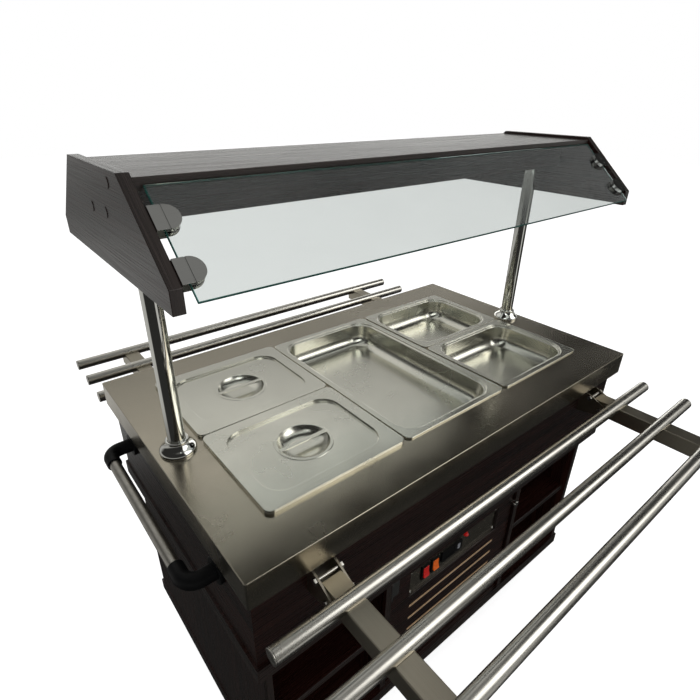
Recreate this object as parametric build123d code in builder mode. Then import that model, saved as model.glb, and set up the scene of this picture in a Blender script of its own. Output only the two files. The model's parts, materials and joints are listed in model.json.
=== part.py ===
"""Mobile heated buffet counter.

A board cabinet on four swivel castors carries a steel counter with a heated water well and five
gastronorm pans. Two posts hold a board canopy with a sloping glass guard on each long side, and
a three-tube tray slide folds down on each long side.

Millimetres. +Z is up, the floor is Z = 0 and the counter is centred on the Z axis.
X runs along the counter and the control side faces -Y.
"""
import os
from math import atan2, cos, degrees, hypot, radians, sin

from build123d import *

os.makedirs("parts", exist_ok=True)

# Fits
SEAT = 0.2  # gap under a piece that lifts off
RUN = 0.08  # radial clearance of a running fit
FIT = 0.2  # radial or side clearance of a piece that is pushed in
SIDE = 0.5  # side clearance between parts that swing past each other

# Boards
BOARD = 18.0
THICK_BOARD = 36.0

# Heights of the castors and the lower cabinet
CASTOR_H = 129.0
CABINET_H = 434.0

# Lower cabinet, set in from the board above it
CAB_INSET_X = 22.0
CAB_INSET_FRONT = 28.0
CAB_INSET_BACK = 11.0
BASE_OUT_X = 4.0
BASE_OUT_Y = 5.0
PARTITION_GAP = 468.0
BAY_SHELF_H = 222.0
SHELF_SETBACK = 9.0
EDGE_R = 2.0

# Upper body and counter, built out from the well
WELL_BORDER_X = 92.5
WELL_BORDER_Y = 85.0
WELL_ROOM = 39.5
MID_OUT_X = 5.0
MID_OUT_Y = 8.0
LIP_OUT_X = 13.0
LIP_OUT_Y = 19.0
LIP_CLEAR = 1.5
LIP_H = 58.0
COUNTER_R = 4.0
STEEL = 1.5

# Pans, lids and the well below them
PAN_W = 325.0
PAN_L = 530.0
COLUMN_GAP = 7.0
ROW_GAP = 3.0
PAN_T = 1.0
PAN_DEPTH = 65.0
PAN_DRAFT = 4.0
PAN_FOOT_R = 14.0
RIM_W = 13.0
RIM_H = 4.0
RIM_R = 14.0
BOWL_R = 46.0
RIM_SEAT = 12.0
COLUMN = PAN_W + COLUMN_GAP
HALF_PAN_L = (PAN_L - ROW_GAP) / 2
HALF_PAN_Y = (PAN_L - HALF_PAN_L) / 2
CUT_L = 3 * PAN_W + 2 * COLUMN_GAP - 2 * RIM_SEAT
CUT_D = PAN_L - 2 * RIM_SEAT
CUT_R = 20.0
TANK_T = 1.0
TANK_DEPTH = 170.0
TANK_FLANGE = 16.0
WOOL = 25.0
BAR_W = 12.0
BAR_H = 15.0
LEDGE_OUT = 10.0
LEDGE_T = 2.0

LID_T = 1.0
LID_EDGE_H = 3.4
LID_EDGE_R = 2.0
LID_BORDER = 27.0
LID_PANEL_R = 44.0
LID_SINK = 6.0
LID_FOLD_R = 1.4
DISH_D = 100.0
DISH_DEPTH = 16.0
DISH_FLOOR_R = 33.0
DISH_RING_W = 7.0
DISH_RING_H = 1.2
GRIP_W = 15.0
GRIP_T = 3.0

# Heating and drain
HEATER_D = 8.5
HEATER_X = 400.0
HEATER_Y = 165.0
HEATER_LEG_X = 30.0
HEATER_LIFT = 14.0
HEATER_BEND = 35.0
HEATER_TAIL = 22.0
COLLAR_D = 18.0
COLLAR_T = 5.0
STRAP_W = 16.0
STRAP_T = 2.0
PROBE_D = 6.0
PROBE_X = 110.0
PROBE_L = 70.0
DRAIN_X = 150.0
DRAIN_Y = -150.0
DRAIN_D = 26.0
DRAIN_WALL = 2.0
DRAIN_FLANGE = 44.0
VALVE_DROP = 119.0
VALVE_D = 42.0
VALVE_HALF = 36.0
OUTLET_H = 60.0
STEM_D = 8.0
STEM_OUT = 36.0
LEVER_L = 92.0
LEVER_W = 16.0
LEVER_T = 4.0

# Cable gland in the back board
GLAND_D = 16.0
GLAND_NUT = 24.0
GLAND_NUT_T = 8.0
GLAND_DOME = 14.0
GLAND_X = -60.0
GLAND_H = 85.0

# Canopy
POST_D = 34.0
POST_WALL = 1.5
POST_INSET = 34.0
FOOT_D = 60.0
FOOT_T = 5.0
ROSETTE_D = 72.0
ROSETTE_H = 28.0
ROSETTE_T = 1.5
ROSETTE_NECK = 6.0
PANEL_OUT = 35.0
PANEL_TOP = 539.0
PANEL_TOP_W = 250.0
SLOPE_Y = 131.0
SLOPE_Z = 118.0
NOSE_H = 34.0
SHELF_SINK = 6.0
SHELF_OVER = 5.0
RAIL_Y = 57.5
RAIL_H = 57.0
GLASS_T = 6.0
GLASS_END_GAP = 12.0
GLASS_H = 179.0
GLASS_START = 18.0
GLASS_INSET = 4.0
CLAMP_W = 38.0
CLAMP_DEPTH = 38.0
CLAMP_T = 20.0
CLAMP_ALONG = (74.5, 154.5)
CLAMP_GROOVE_X = 17.0
CLAMP_GROOVE = 1.6

# Tray slides
TUBE_D = 28.0
TUBE_WALL = 1.5
TUBE_OUT = 4.0
TUBE_FIRST = 89.0
TUBE_PITCH = 106.0
TUBE_COUNT = 3
CAP_T = 2.5
CAP_PLUG = 12.0
ARM_INSET = 130.0
ARM_W = 40.0
ARM_WALL = 2.0
ARM_BELOW_LIP = 17.0
ARM_PIVOT_OUT = 58.0
ARM_PIVOT_SINK = 24.0
ARM_ROUND_R = 32.0
ARM_END = 3.0
BRACKET_T = 4.0
BRACKET_PAD = 15.0
BRACKET_FOOT_H = 64.0
TIE_OUT = 27.0
TIE_BELOW_LIP = 18.5
BOLT_D = 8.0
BOLT_HEAD = 14.0
BOLT_HEAD_T = 5.5

# Push handles
GRIP_D = 24.0
GRIP_WALL = 1.5
GRIP_OUT = 57.0
GRIP_BELOW_LIP = 48.0
GRIP_HALF = 170.0
ELBOW_D = 31.0
ELBOW_R = 26.0
SOCKET = 24.0
ELBOW_FOOT_D = 52.0
ELBOW_FOOT_T = 8.0

# Service door and its controls
DOOR_RECESS = 7.0
DOOR_SIDE_GAP = 3.0
DOOR_MARGIN = 3.0
PLATE_W = 334.0
PLATE_H = 80.0
PLATE_T = 1.5
PLATE_DROP = 119.0
PLATE_RECESS = 6.0
PLATE_LEDGE = 8.0
SLOT_W = 326.0
SLOT_H = 8.0
SLOT_COUNT = 5
SLOT_PITCH = 44.0
SLOT_FIRST_DROP = 198.0
HINGE_H = 50.0
HINGE_D = 6.0
HINGE_PIN_D = 3.0
HINGE_LEAF = 1.2
HINGE_LEAF_W = 22.0
HINGE_INSET = 60.0
HINGE_JOINT = 0.4
KNOB_X = 221.0
KNOB_DROP = 85.0
KNOB_D = 18.0
KNOB_NECK = 8.0
KNOB_OUT = 20.0
ROCKER_RED_X = -110.0
ROCKER_AMBER_X = -76.0
ROCKER_DROP = 117.0
BEZEL_W = 29.0
BEZEL_H = 44.0
BEZEL_T = 3.5
BEZEL_STEP = 2.0
ROCKER_W = 18.0
ROCKER_H = 30.0
ROCKER_ROOM = 1.2
ROCKER_BACK = 3.5
ROCKER_TIP = 6.5
ROCKER_VALLEY = 4.6
ROCKER_TILT = 8.0
TRUNNION_D = 4.0
TRUNNION_OUT = 1.4
HOUSING_DEPTH = 16.0
THERMO_X = -16.0
THERMO_DROP = 113.0
THERMO_W = 77.0
THERMO_H = 35.0
THERMO_T = 4.0
THERMO_BODY_W = 71.0
THERMO_BODY_H = 29.0
THERMO_BODY_DEPTH = 34.0
DISPLAY_W = 42.0
DISPLAY_H = 18.0
DISPLAY_X = -12.0
DISPLAY_DEPTH = 0.8
KEY_W = 9.0
KEY_H = 6.0
KEY_X = 25.0
KEY_PITCH = 9.0
KEY_OUT = 1.4
KEY_LENGTH = 3.6
KEY_TRAVEL = 0.8
LAMP_X = 38.0
LAMP_DROP = 94.0
LAMP_D = 11.0
LAMP_RING = 14.0
LAMP_RING_T = 1.6
LAMP_OUT = 8.0
LAMP_STEM_D = 8.0
LAMP_STEM_L = 22.0

# Castors
CASTOR_INSET = 95.0
PLATE_L = 100.0
PLATE_B = 84.0
CASTOR_PLATE_T = 3.5
RACE_D = 54.0
RACE_T = 9.0
WHEEL_D = 100.0
WHEEL_W = 30.0
TREAD_CROWN = 4.0
HUB_D = 34.0
HUB_W = 36.0
WEB_T = 12.0
TRAIL = 32.0
AXLE_D = 10.0
AXLE_NUT = 17.0
AXLE_NUT_T = 6.0
FORK_T = 3.0
FORK_SIDE = 1.5
FORK_TOP_L = 62.0
FORK_TOP_AHEAD = 10.0
FORK_EYE_R = 13.0
FORK_TOP_T = 4.0
KINGPIN_D = 12.0
KINGPIN_HEAD = 20.0
KINGPIN_HEAD_T = 5.0
RACE_GAP = 0.3
PEDAL_PIN_D = 6.0
PEDAL_PIN_AHEAD = 58.0
PEDAL_PIN_Z = 104.0
PEDAL_T = 5.0
PEDAL_W = 30.0
PEDAL_L = 46.0
PEDAL_FALL = 4.0

# Derived heights, from the floor up
BASE_Z = CASTOR_H
BAY_Z = BASE_Z + THICK_BOARD
MID_Z = BAY_Z + CABINET_H
UPPER_Z = MID_Z + THICK_BOARD
TANK_TOP = UPPER_Z + WELL_ROOM + WOOL + TANK_DEPTH
TANK_FLOOR = TANK_TOP - TANK_DEPTH + TANK_T
TOP_Z = TANK_TOP + STEEL
CORE_TOP = TOP_Z - STEEL
CORE_Z = CORE_TOP - BOARD
LIP_Z = TOP_Z - LIP_H
VALVE_Z = MID_Z - VALVE_DROP
GLAND_Z = BAY_Z + GLAND_H

# Derived widths and depths, from the well out
UPPER_L = CUT_L + 2 * WELL_BORDER_X
UPPER_D = CUT_D + 2 * WELL_BORDER_Y
COUNTER_L = UPPER_L + 2 * LIP_OUT_X
COUNTER_D = UPPER_D + 2 * LIP_OUT_Y
LIP_RETURN = LIP_OUT_X - STEEL - LIP_CLEAR
MID_L = UPPER_L + 2 * MID_OUT_X
MID_D = UPPER_D + 2 * MID_OUT_Y
CAB_L = MID_L - 2 * CAB_INSET_X
CAB_FRONT = MID_D / 2 - CAB_INSET_FRONT
CAB_BACK = MID_D / 2 - CAB_INSET_BACK
BASE_L = CAB_L + 2 * BASE_OUT_X
BASE_FRONT = CAB_FRONT + BASE_OUT_Y
BASE_BACK = CAB_BACK + BASE_OUT_Y

# Derived places on the canopy, the slides and the door
POST_X = UPPER_L / 2 - POST_INSET
PANEL_X = POST_X + PANEL_OUT
PANEL_W = PANEL_TOP_W + 2 * SLOPE_Y
NOSE_TOP = PANEL_TOP - SLOPE_Z
NOSE_LOW = NOSE_TOP - NOSE_H
CANOPY_SHELF_TOP = PANEL_TOP - SHELF_SINK
CANOPY_SHELF_W = PANEL_TOP_W + 2 * SHELF_OVER
RAIL_LOW = CANOPY_SHELF_TOP - BOARD - RAIL_H
GLASS_L = 2 * (PANEL_X - GLASS_END_GAP)
SLOPE_LEN = hypot(SLOPE_Y, SLOPE_Z)
SLOPE_OUT = SLOPE_Y / SLOPE_LEN
SLOPE_DOWN = SLOPE_Z / SLOPE_LEN
TUBE_L = COUNTER_L + 2 * TUBE_OUT
TUBE_YS = [UPPER_D / 2 + TUBE_FIRST + row * TUBE_PITCH for row in range(TUBE_COUNT)]
ARM_X = UPPER_L / 2 - ARM_INSET
ARM_TOP = LIP_Z - ARM_BELOW_LIP
ARM_PIVOT_Y = UPPER_D / 2 + ARM_PIVOT_OUT
PIVOT_Z = ARM_TOP - ARM_PIVOT_SINK
TIE_Y = UPPER_D / 2 + TIE_OUT
TIE_Z = LIP_Z - TIE_BELOW_LIP
PARTITION_X = PARTITION_GAP / 2
DOOR_FACE = CAB_FRONT - DOOR_RECESS
DOOR_BACK = DOOR_FACE - BOARD
DOOR_HALF = PARTITION_X - DOOR_SIDE_GAP
PLATE_FACE = DOOR_FACE - PLATE_RECESS
PLATE_Z = MID_Z - PLATE_DROP
HINGE_X = PARTITION_X - HINGE_D / 2 - SIDE
HINGE_Y = DOOR_FACE + HINGE_D / 2 + SIDE
AXLE_Z = WHEEL_D / 2
FORK_TOP_Z = CASTOR_H - CASTOR_PLATE_T - RACE_T - RACE_GAP


def keep(piece, name):
    """Label a finished piece and write it to its own file."""
    piece.part.label = name
    export_step(piece.part, f"parts/{name}.step")


def add_board(x_span, y_span, z_span, edge=0.0):
    """Add one board to the part being built, from its three spans."""
    width = x_span[1] - x_span[0]
    depth = y_span[1] - y_span[0]
    with BuildSketch(Plane.XY.offset(z_span[0])) as outline:
        with Locations(((x_span[0] + x_span[1]) / 2, (y_span[0] + y_span[1]) / 2)):
            if edge > 0:
                RectangleRounded(width, depth, edge)
            else:
                Rectangle(width, depth)
    extrude(outline.sketch, amount=z_span[1] - z_span[0])


def add_ring(radius_out, radius_in, low, high, x=0.0, y=0.0):
    """Add an upright tube to the part being built."""
    with BuildSketch(Plane.XY.offset(low)) as section:
        with Locations((x, y)):
            Circle(radius_out)
            if radius_in > 0:
                Circle(radius_in, mode=Mode.SUBTRACT)
    extrude(section.sketch, amount=high - low)


def add_bar_x(radius, x_low, x_high, y, z, mode=Mode.ADD):
    """Add or cut a round bar that lies along X."""
    with BuildSketch(Plane.YZ.offset(x_low)) as section:
        with Locations((y, z)):
            Circle(radius)
    extrude(section.sketch, amount=x_high - x_low, mode=mode)


def facing_front(x, y, z):
    """Return a plane that faces the control side, with its X to the right and its Y up."""
    return Plane(origin=(x, y, z), x_dir=(1, 0, 0), z_dir=(0, -1, 0))


# Lower cabinet
with BuildPart() as base_board:
    add_board((-BASE_L / 2, BASE_L / 2), (-BASE_FRONT, BASE_BACK), (BASE_Z, BAY_Z), edge=EDGE_R)
keep(base_board, "base_board")

with BuildPart() as cabinet_uprights:
    for outer in (-CAB_L / 2, CAB_L / 2 - BOARD):
        add_board((outer, outer + BOARD), (-CAB_FRONT, CAB_BACK), (BAY_Z, MID_Z))
    for inner in (-PARTITION_X - BOARD, PARTITION_X):
        add_board((inner, inner + BOARD), (-CAB_FRONT, CAB_BACK - BOARD), (BAY_Z, MID_Z))
keep(cabinet_uprights, "cabinet_uprights")

with BuildPart() as cabinet_back:
    add_board((-CAB_L / 2 + BOARD, CAB_L / 2 - BOARD), (CAB_BACK - BOARD, CAB_BACK), (BAY_Z, MID_Z))
    with BuildSketch(facing_front(GLAND_X, CAB_BACK, GLAND_Z)):
        Circle(GLAND_D / 2 + FIT)
    extrude(amount=BOARD, mode=Mode.SUBTRACT)
keep(cabinet_back, "cabinet_back")

with BuildPart() as bay_shelves:
    for left in (-CAB_L / 2 + BOARD, PARTITION_X + BOARD):
        right = left + CAB_L / 2 - PARTITION_X - 2 * BOARD
        add_board(
            (left, right),
            (-CAB_FRONT + SHELF_SETBACK, CAB_BACK - BOARD),
            (BAY_Z + BAY_SHELF_H - BOARD, BAY_Z + BAY_SHELF_H),
        )
keep(bay_shelves, "bay_shelves")

with BuildPart() as mid_board:
    add_board((-MID_L / 2, MID_L / 2), (-MID_D / 2, MID_D / 2), (MID_Z, UPPER_Z), edge=EDGE_R)
    with Locations((DRAIN_X, DRAIN_Y, UPPER_Z)):
        Hole(DRAIN_D / 2 + 2 * SIDE, depth=THICK_BOARD)
keep(mid_board, "mid_board")

# Upper body: the boards round the well, and the frame that the steel top is glued to
with BuildPart() as upper_panels:
    for outer in (-UPPER_L / 2, UPPER_L / 2 - BOARD):
        add_board((outer, outer + BOARD), (-UPPER_D / 2, UPPER_D / 2), (UPPER_Z, CORE_Z))
    for face in (-UPPER_D / 2, UPPER_D / 2 - BOARD):
        add_board((-UPPER_L / 2 + BOARD, UPPER_L / 2 - BOARD), (face, face + BOARD), (UPPER_Z, CORE_Z))
keep(upper_panels, "upper_panels")

with BuildPart() as counter_core:
    with BuildSketch(Plane.XY.offset(CORE_Z)):
        Rectangle(UPPER_L, UPPER_D)
        RectangleRounded(CUT_L + 2 * TANK_T + 2 * FIT, CUT_D + 2 * TANK_T + 2 * FIT, CUT_R + TANK_T + FIT,
                         mode=Mode.SUBTRACT)
    extrude(amount=BOARD)
    with BuildSketch(Plane.XY.offset(CORE_TOP)):
        RectangleRounded(CUT_L + 2 * TANK_FLANGE + 2 * FIT, CUT_D + 2 * TANK_FLANGE + 2 * FIT, CUT_R)
    extrude(amount=-TANK_T, mode=Mode.SUBTRACT)
keep(counter_core, "counter_core")

with BuildPart() as counter_top:
    with BuildSketch(Plane.XY.offset(LIP_Z)):
        RectangleRounded(COUNTER_L, COUNTER_D, COUNTER_R)
    extrude(amount=LIP_H)
    fillet(counter_top.faces().sort_by(Axis.Z)[-1].edges(), STEEL)
    with BuildSketch(Plane.XY.offset(LIP_Z + STEEL)):
        RectangleRounded(COUNTER_L - 2 * STEEL, COUNTER_D - 2 * STEEL, COUNTER_R - STEEL)
    extrude(amount=LIP_H - 2 * STEEL, mode=Mode.SUBTRACT)
    with BuildSketch(Plane.XY.offset(LIP_Z)):
        Rectangle(COUNTER_L - 2 * STEEL - 2 * LIP_RETURN, COUNTER_D - 2 * STEEL - 2 * LIP_RETURN)
    extrude(amount=STEEL, mode=Mode.SUBTRACT)
    with BuildSketch(Plane.XY.offset(TOP_Z)):
        RectangleRounded(CUT_L, CUT_D, CUT_R)
    extrude(amount=-STEEL, mode=Mode.SUBTRACT)
keep(counter_top, "counter_top")

# Well: tank, wool jacket, pan bars, heater, probe and drain
HEATER_Z = TANK_FLOOR + HEATER_LIFT + HEATER_D / 2
PROBE_Z = HEATER_Z + COLLAR_D + COLLAR_T
TANK_FRONT = -CUT_D / 2 - TANK_T

with BuildPart() as well_tank:
    with BuildSketch(Plane.XY.offset(TANK_TOP - TANK_DEPTH)):
        RectangleRounded(CUT_L + 2 * TANK_T, CUT_D + 2 * TANK_T, CUT_R + TANK_T)
    extrude(amount=TANK_DEPTH)
    with BuildSketch(Plane.XY.offset(TANK_TOP - TANK_T)):
        RectangleRounded(CUT_L + 2 * TANK_FLANGE, CUT_D + 2 * TANK_FLANGE, CUT_R)
    extrude(amount=TANK_T)
    with BuildSketch(Plane.XY.offset(TANK_FLOOR)):
        RectangleRounded(CUT_L, CUT_D, CUT_R)
    extrude(amount=TANK_DEPTH, mode=Mode.SUBTRACT)
    for side in (-1, 1):
        with BuildSketch(Plane.XY.offset(TOP_Z - BAR_H - LEDGE_T)):
            with Locations((-COLUMN / 2, side * (CUT_D - LEDGE_OUT) / 2), (COLUMN / 2, side * (CUT_D - LEDGE_OUT) / 2)):
                Rectangle(2 * BAR_W, LEDGE_OUT)
            with Locations((side * (CUT_L - LEDGE_OUT) / 2, 0)):
                Rectangle(LEDGE_OUT, 2 * BAR_W)
        extrude(amount=LEDGE_T)
    with Locations((DRAIN_X, DRAIN_Y, TANK_FLOOR)):
        Hole(DRAIN_D / 2 + FIT, depth=TANK_T)
    for leg in (-HEATER_LEG_X, HEATER_LEG_X):
        with BuildSketch(facing_front(leg, -CUT_D / 2, HEATER_Z)):
            Circle(HEATER_D / 2 + FIT)
        extrude(amount=TANK_T, mode=Mode.SUBTRACT)
    with BuildSketch(facing_front(PROBE_X, -CUT_D / 2, PROBE_Z)):
        Circle(PROBE_D / 2 + FIT)
    extrude(amount=TANK_T, mode=Mode.SUBTRACT)
keep(well_tank, "well_tank")

with BuildPart() as well_wool:
    with BuildSketch(Plane.XY.offset(TANK_TOP - TANK_DEPTH - WOOL)):
        RectangleRounded(CUT_L + 2 * TANK_T + 2 * WOOL, CUT_D + 2 * TANK_T + 2 * WOOL, CUT_R + WOOL)
    extrude(amount=CORE_Z - TANK_TOP + TANK_DEPTH + WOOL)
    with BuildSketch(Plane.XY.offset(TANK_TOP - TANK_DEPTH - SEAT)):
        RectangleRounded(CUT_L + 2 * TANK_T + 2 * FIT, CUT_D + 2 * TANK_T + 2 * FIT, CUT_R + TANK_T + FIT)
    extrude(amount=TANK_DEPTH, mode=Mode.SUBTRACT)
    with BuildSketch(Plane.XY.offset(TANK_TOP - TANK_DEPTH - WOOL)):
        with Locations((DRAIN_X, DRAIN_Y)):
            Circle(DRAIN_FLANGE / 2 + SIDE)
    extrude(amount=WOOL, mode=Mode.SUBTRACT)
    with BuildSketch(facing_front(0, TANK_FRONT + SIDE, HEATER_Z)):
        SlotCenterToCenter(2 * HEATER_LEG_X, COLLAR_D + 4 * SIDE)
        with Locations((PROBE_X, PROBE_Z - HEATER_Z)):
            Circle(COLLAR_D / 2 + SIDE)
    extrude(amount=2 * WOOL, mode=Mode.SUBTRACT)
keep(well_wool, "well_wool")

with BuildPart() as pan_bars:
    for centre in (-COLUMN / 2, COLUMN / 2):
        add_board(
            (centre - BAR_W / 2, centre + BAR_W / 2),
            (-CUT_D / 2 + FIT, CUT_D / 2 - FIT),
            (TOP_Z - BAR_H, TOP_Z),
        )
    for side in (-1, 1):
        near = COLUMN / 2 + BAR_W / 2 + FIT
        far = CUT_L / 2 - FIT
        ends = sorted((side * near, side * far))
        add_board(ends, (-BAR_W / 2, BAR_W / 2), (TOP_Z - BAR_H, TOP_Z))
        tab = sorted((side * (COLUMN / 2 - BAR_W / 2), side * (near + LEDGE_OUT)))
        add_board(tab, (-BAR_W, BAR_W), (TOP_Z - BAR_H - LEDGE_T, TOP_Z - BAR_H))
keep(pan_bars, "pan_bars")

with BuildPart() as heating_element:
    tail_y = TANK_FRONT - HEATER_TAIL
    with BuildLine(Plane.XY.offset(HEATER_Z)) as heater_path:
        FilletPolyline(
            (-HEATER_LEG_X, tail_y),
            (-HEATER_LEG_X, -HEATER_Y),
            (-HEATER_X, -HEATER_Y),
            (-HEATER_X, HEATER_Y),
            (HEATER_X, HEATER_Y),
            (HEATER_X, -HEATER_Y),
            (HEATER_LEG_X, -HEATER_Y),
            (HEATER_LEG_X, tail_y),
            radius=min(HEATER_BEND, HEATER_LEG_X + HEATER_BEND / 2),
        )
    with BuildSketch(Plane(origin=heater_path.line @ 0, z_dir=heater_path.line % 0)):
        Circle(HEATER_D / 2)
    sweep()
    for leg in (-HEATER_LEG_X, HEATER_LEG_X):
        for wall in (TANK_FRONT, -CUT_D / 2 + COLLAR_T):
            with BuildSketch(facing_front(leg, wall, HEATER_Z)) as collar:
                RegularPolygon(COLLAR_D / 2, 6)
                Circle(HEATER_D / 2 - FIT, mode=Mode.SUBTRACT)
            extrude(collar.sketch, amount=COLLAR_T)
    for x in (-HEATER_X / 2, HEATER_X / 2):
        for side in (-1, 1):
            rest = HEATER_Z - HEATER_D / 2 - FIT
            far = side * HEATER_Y
            with BuildSketch(Plane.YZ.offset(x - STRAP_W / 2)) as strap:
                with Locations((far, rest - STRAP_T / 2)):
                    Rectangle(4 * HEATER_D, STRAP_T)
                with Locations((far, (rest + TANK_FLOOR) / 2)):
                    Rectangle(STRAP_T, rest - TANK_FLOOR)
                with Locations((far, TANK_FLOOR + STRAP_T / 2)):
                    Rectangle(2 * HEATER_D, STRAP_T)
            extrude(strap.sketch, amount=STRAP_W)
keep(heating_element, "heating_element")

with BuildPart() as temperature_probe:
    with BuildSketch(facing_front(PROBE_X, -CUT_D / 2 + PROBE_L, PROBE_Z)):
        Circle(PROBE_D / 2)
    extrude(amount=PROBE_L + TANK_T + HEATER_TAIL)
    for wall in (TANK_FRONT, -CUT_D / 2 + COLLAR_T):
        with BuildSketch(facing_front(PROBE_X, wall, PROBE_Z)) as collar:
            RegularPolygon(COLLAR_D / 2 - 2 * SIDE, 6)
        extrude(collar.sketch, amount=COLLAR_T)
keep(temperature_probe, "temperature_probe")

with BuildPart() as drain_valve:
    bore = DRAIN_D / 2 - DRAIN_WALL
    half = VALVE_D / 2
    nut_top = TANK_FLOOR - TANK_T
    add_ring(DRAIN_D / 2, bore, VALVE_Z + VALVE_HALF, TANK_FLOOR, DRAIN_X, DRAIN_Y)
    add_ring(DRAIN_FLANGE / 2, bore, TANK_FLOOR, TANK_FLOOR + DRAIN_WALL, DRAIN_X, DRAIN_Y)
    add_ring(DRAIN_FLANGE / 2, bore, nut_top - 2 * COLLAR_T, nut_top, DRAIN_X, DRAIN_Y)
    with BuildSketch(Plane.XZ.offset(-DRAIN_Y)):
        with BuildLine():
            Polyline(
                (DRAIN_X + bore, VALVE_Z - VALVE_HALF - OUTLET_H),
                (DRAIN_X + DRAIN_D / 2, VALVE_Z - VALVE_HALF - OUTLET_H),
                (DRAIN_X + DRAIN_D / 2, VALVE_Z - VALVE_HALF),
                (DRAIN_X + half - DRAIN_WALL, VALVE_Z - VALVE_HALF),
                (DRAIN_X + half - DRAIN_WALL, VALVE_Z - VALVE_HALF / 2),
            )
            ThreePointArc(
                (DRAIN_X + half - DRAIN_WALL, VALVE_Z - VALVE_HALF / 2),
                (DRAIN_X + half + DRAIN_WALL, VALVE_Z),
                (DRAIN_X + half - DRAIN_WALL, VALVE_Z + VALVE_HALF / 2),
            )
            Polyline(
                (DRAIN_X + half - DRAIN_WALL, VALVE_Z + VALVE_HALF / 2),
                (DRAIN_X + half - DRAIN_WALL, VALVE_Z + VALVE_HALF),
                (DRAIN_X + bore, VALVE_Z + VALVE_HALF),
                (DRAIN_X + bore, VALVE_Z - VALVE_HALF - OUTLET_H),
            )
        make_face()
    revolve(axis=Axis((DRAIN_X, DRAIN_Y, 0), (0, 0, 1)))
    with BuildSketch(facing_front(DRAIN_X, DRAIN_Y - bore, VALVE_Z)) as stem:
        Circle(STEM_D / 2)
    extrude(stem.sketch, amount=STEM_OUT - bore)
    with BuildSketch(facing_front(DRAIN_X, DRAIN_Y - bore, VALVE_Z)) as neck:
        Circle(STEM_D)
    extrude(neck.sketch, amount=STEM_OUT - bore - LEVER_T - SIDE)
keep(drain_valve, "drain_valve")

with BuildPart() as drain_lever:
    with BuildSketch(facing_front(DRAIN_X, DRAIN_Y - STEM_OUT + LEVER_T, VALVE_Z)):
        with Locations((-LEVER_L / 2, 0)):
            SlotCenterToCenter(LEVER_L, LEVER_W)
        Circle(STEM_D / 2 + RUN, mode=Mode.SUBTRACT)
    extrude(amount=LEVER_T)
keep(drain_lever, "drain_lever")

with BuildPart() as cable_gland:
    inside = CAB_BACK - BOARD - GLAND_NUT_T
    with BuildSketch(Plane.XY.offset(GLAND_Z)):
        with BuildLine():
            Polyline(
                (GLAND_X, inside),
                (GLAND_X + GLAND_NUT / 2, inside),
                (GLAND_X + GLAND_NUT / 2, inside + GLAND_NUT_T),
                (GLAND_X + GLAND_D / 2, inside + GLAND_NUT_T),
                (GLAND_X + GLAND_D / 2, CAB_BACK),
                (GLAND_X + GLAND_NUT / 2, CAB_BACK),
                (GLAND_X + GLAND_NUT / 2, CAB_BACK + GLAND_NUT_T),
            )
            ThreePointArc(
                (GLAND_X + GLAND_NUT / 2, CAB_BACK + GLAND_NUT_T),
                (GLAND_X + GLAND_NUT / 2.3, CAB_BACK + GLAND_NUT_T + 0.6 * GLAND_DOME),
                (GLAND_X + GLAND_D / 2, CAB_BACK + GLAND_NUT_T + GLAND_DOME),
            )
            Polyline(
                (GLAND_X + GLAND_D / 2, CAB_BACK + GLAND_NUT_T + GLAND_DOME),
                (GLAND_X, CAB_BACK + GLAND_NUT_T + GLAND_DOME),
                (GLAND_X, inside),
            )
        make_face()
    revolve(axis=Axis((GLAND_X, 0, GLAND_Z), (0, 1, 0)))
keep(cable_gland, "cable_gland")


# Pans and lids
def food_pan(name, x, y, length):
    """Make one pressed pan: drafted bowl with a flat rim and a turned-down edge."""
    seat = TOP_Z + SEAT
    rim_top = seat + RIM_H
    bowl_w = PAN_W - 2 * RIM_W
    bowl_l = length - 2 * RIM_W
    downwards = Plane(origin=(x, y, rim_top), x_dir=(1, 0, 0), z_dir=(0, 0, -1))
    with BuildPart() as cavity:
        with BuildSketch(downwards):
            RectangleRounded(bowl_w - 2 * PAN_T, bowl_l - 2 * PAN_T, BOWL_R - PAN_T)
        extrude(amount=PAN_DEPTH - PAN_T, taper=PAN_DRAFT)
        fillet(cavity.faces().sort_by(Axis.Z)[0].edges(), PAN_FOOT_R - PAN_T)
    with BuildPart() as pan:
        with BuildSketch(downwards):
            RectangleRounded(bowl_w, bowl_l, BOWL_R)
        extrude(amount=PAN_DEPTH, taper=PAN_DRAFT)
        fillet(pan.faces().sort_by(Axis.Z)[0].edges(), PAN_FOOT_R)
        add(cavity.part, mode=Mode.SUBTRACT)
        with BuildSketch(Plane.XY.offset(rim_top - PAN_T)):
            with Locations((x, y)):
                RectangleRounded(PAN_W, length, RIM_R)
                RectangleRounded(bowl_w - PAN_T, bowl_l - PAN_T, BOWL_R - PAN_T / 2, mode=Mode.SUBTRACT)
        extrude(amount=PAN_T)
        with BuildSketch(Plane.XY.offset(seat)):
            with Locations((x, y)):
                RectangleRounded(PAN_W, length, RIM_R)
                RectangleRounded(PAN_W - 2 * PAN_T, length - 2 * PAN_T, RIM_R - PAN_T, mode=Mode.SUBTRACT)
        extrude(amount=RIM_H - PAN_T)
    keep(pan, name)


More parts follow.
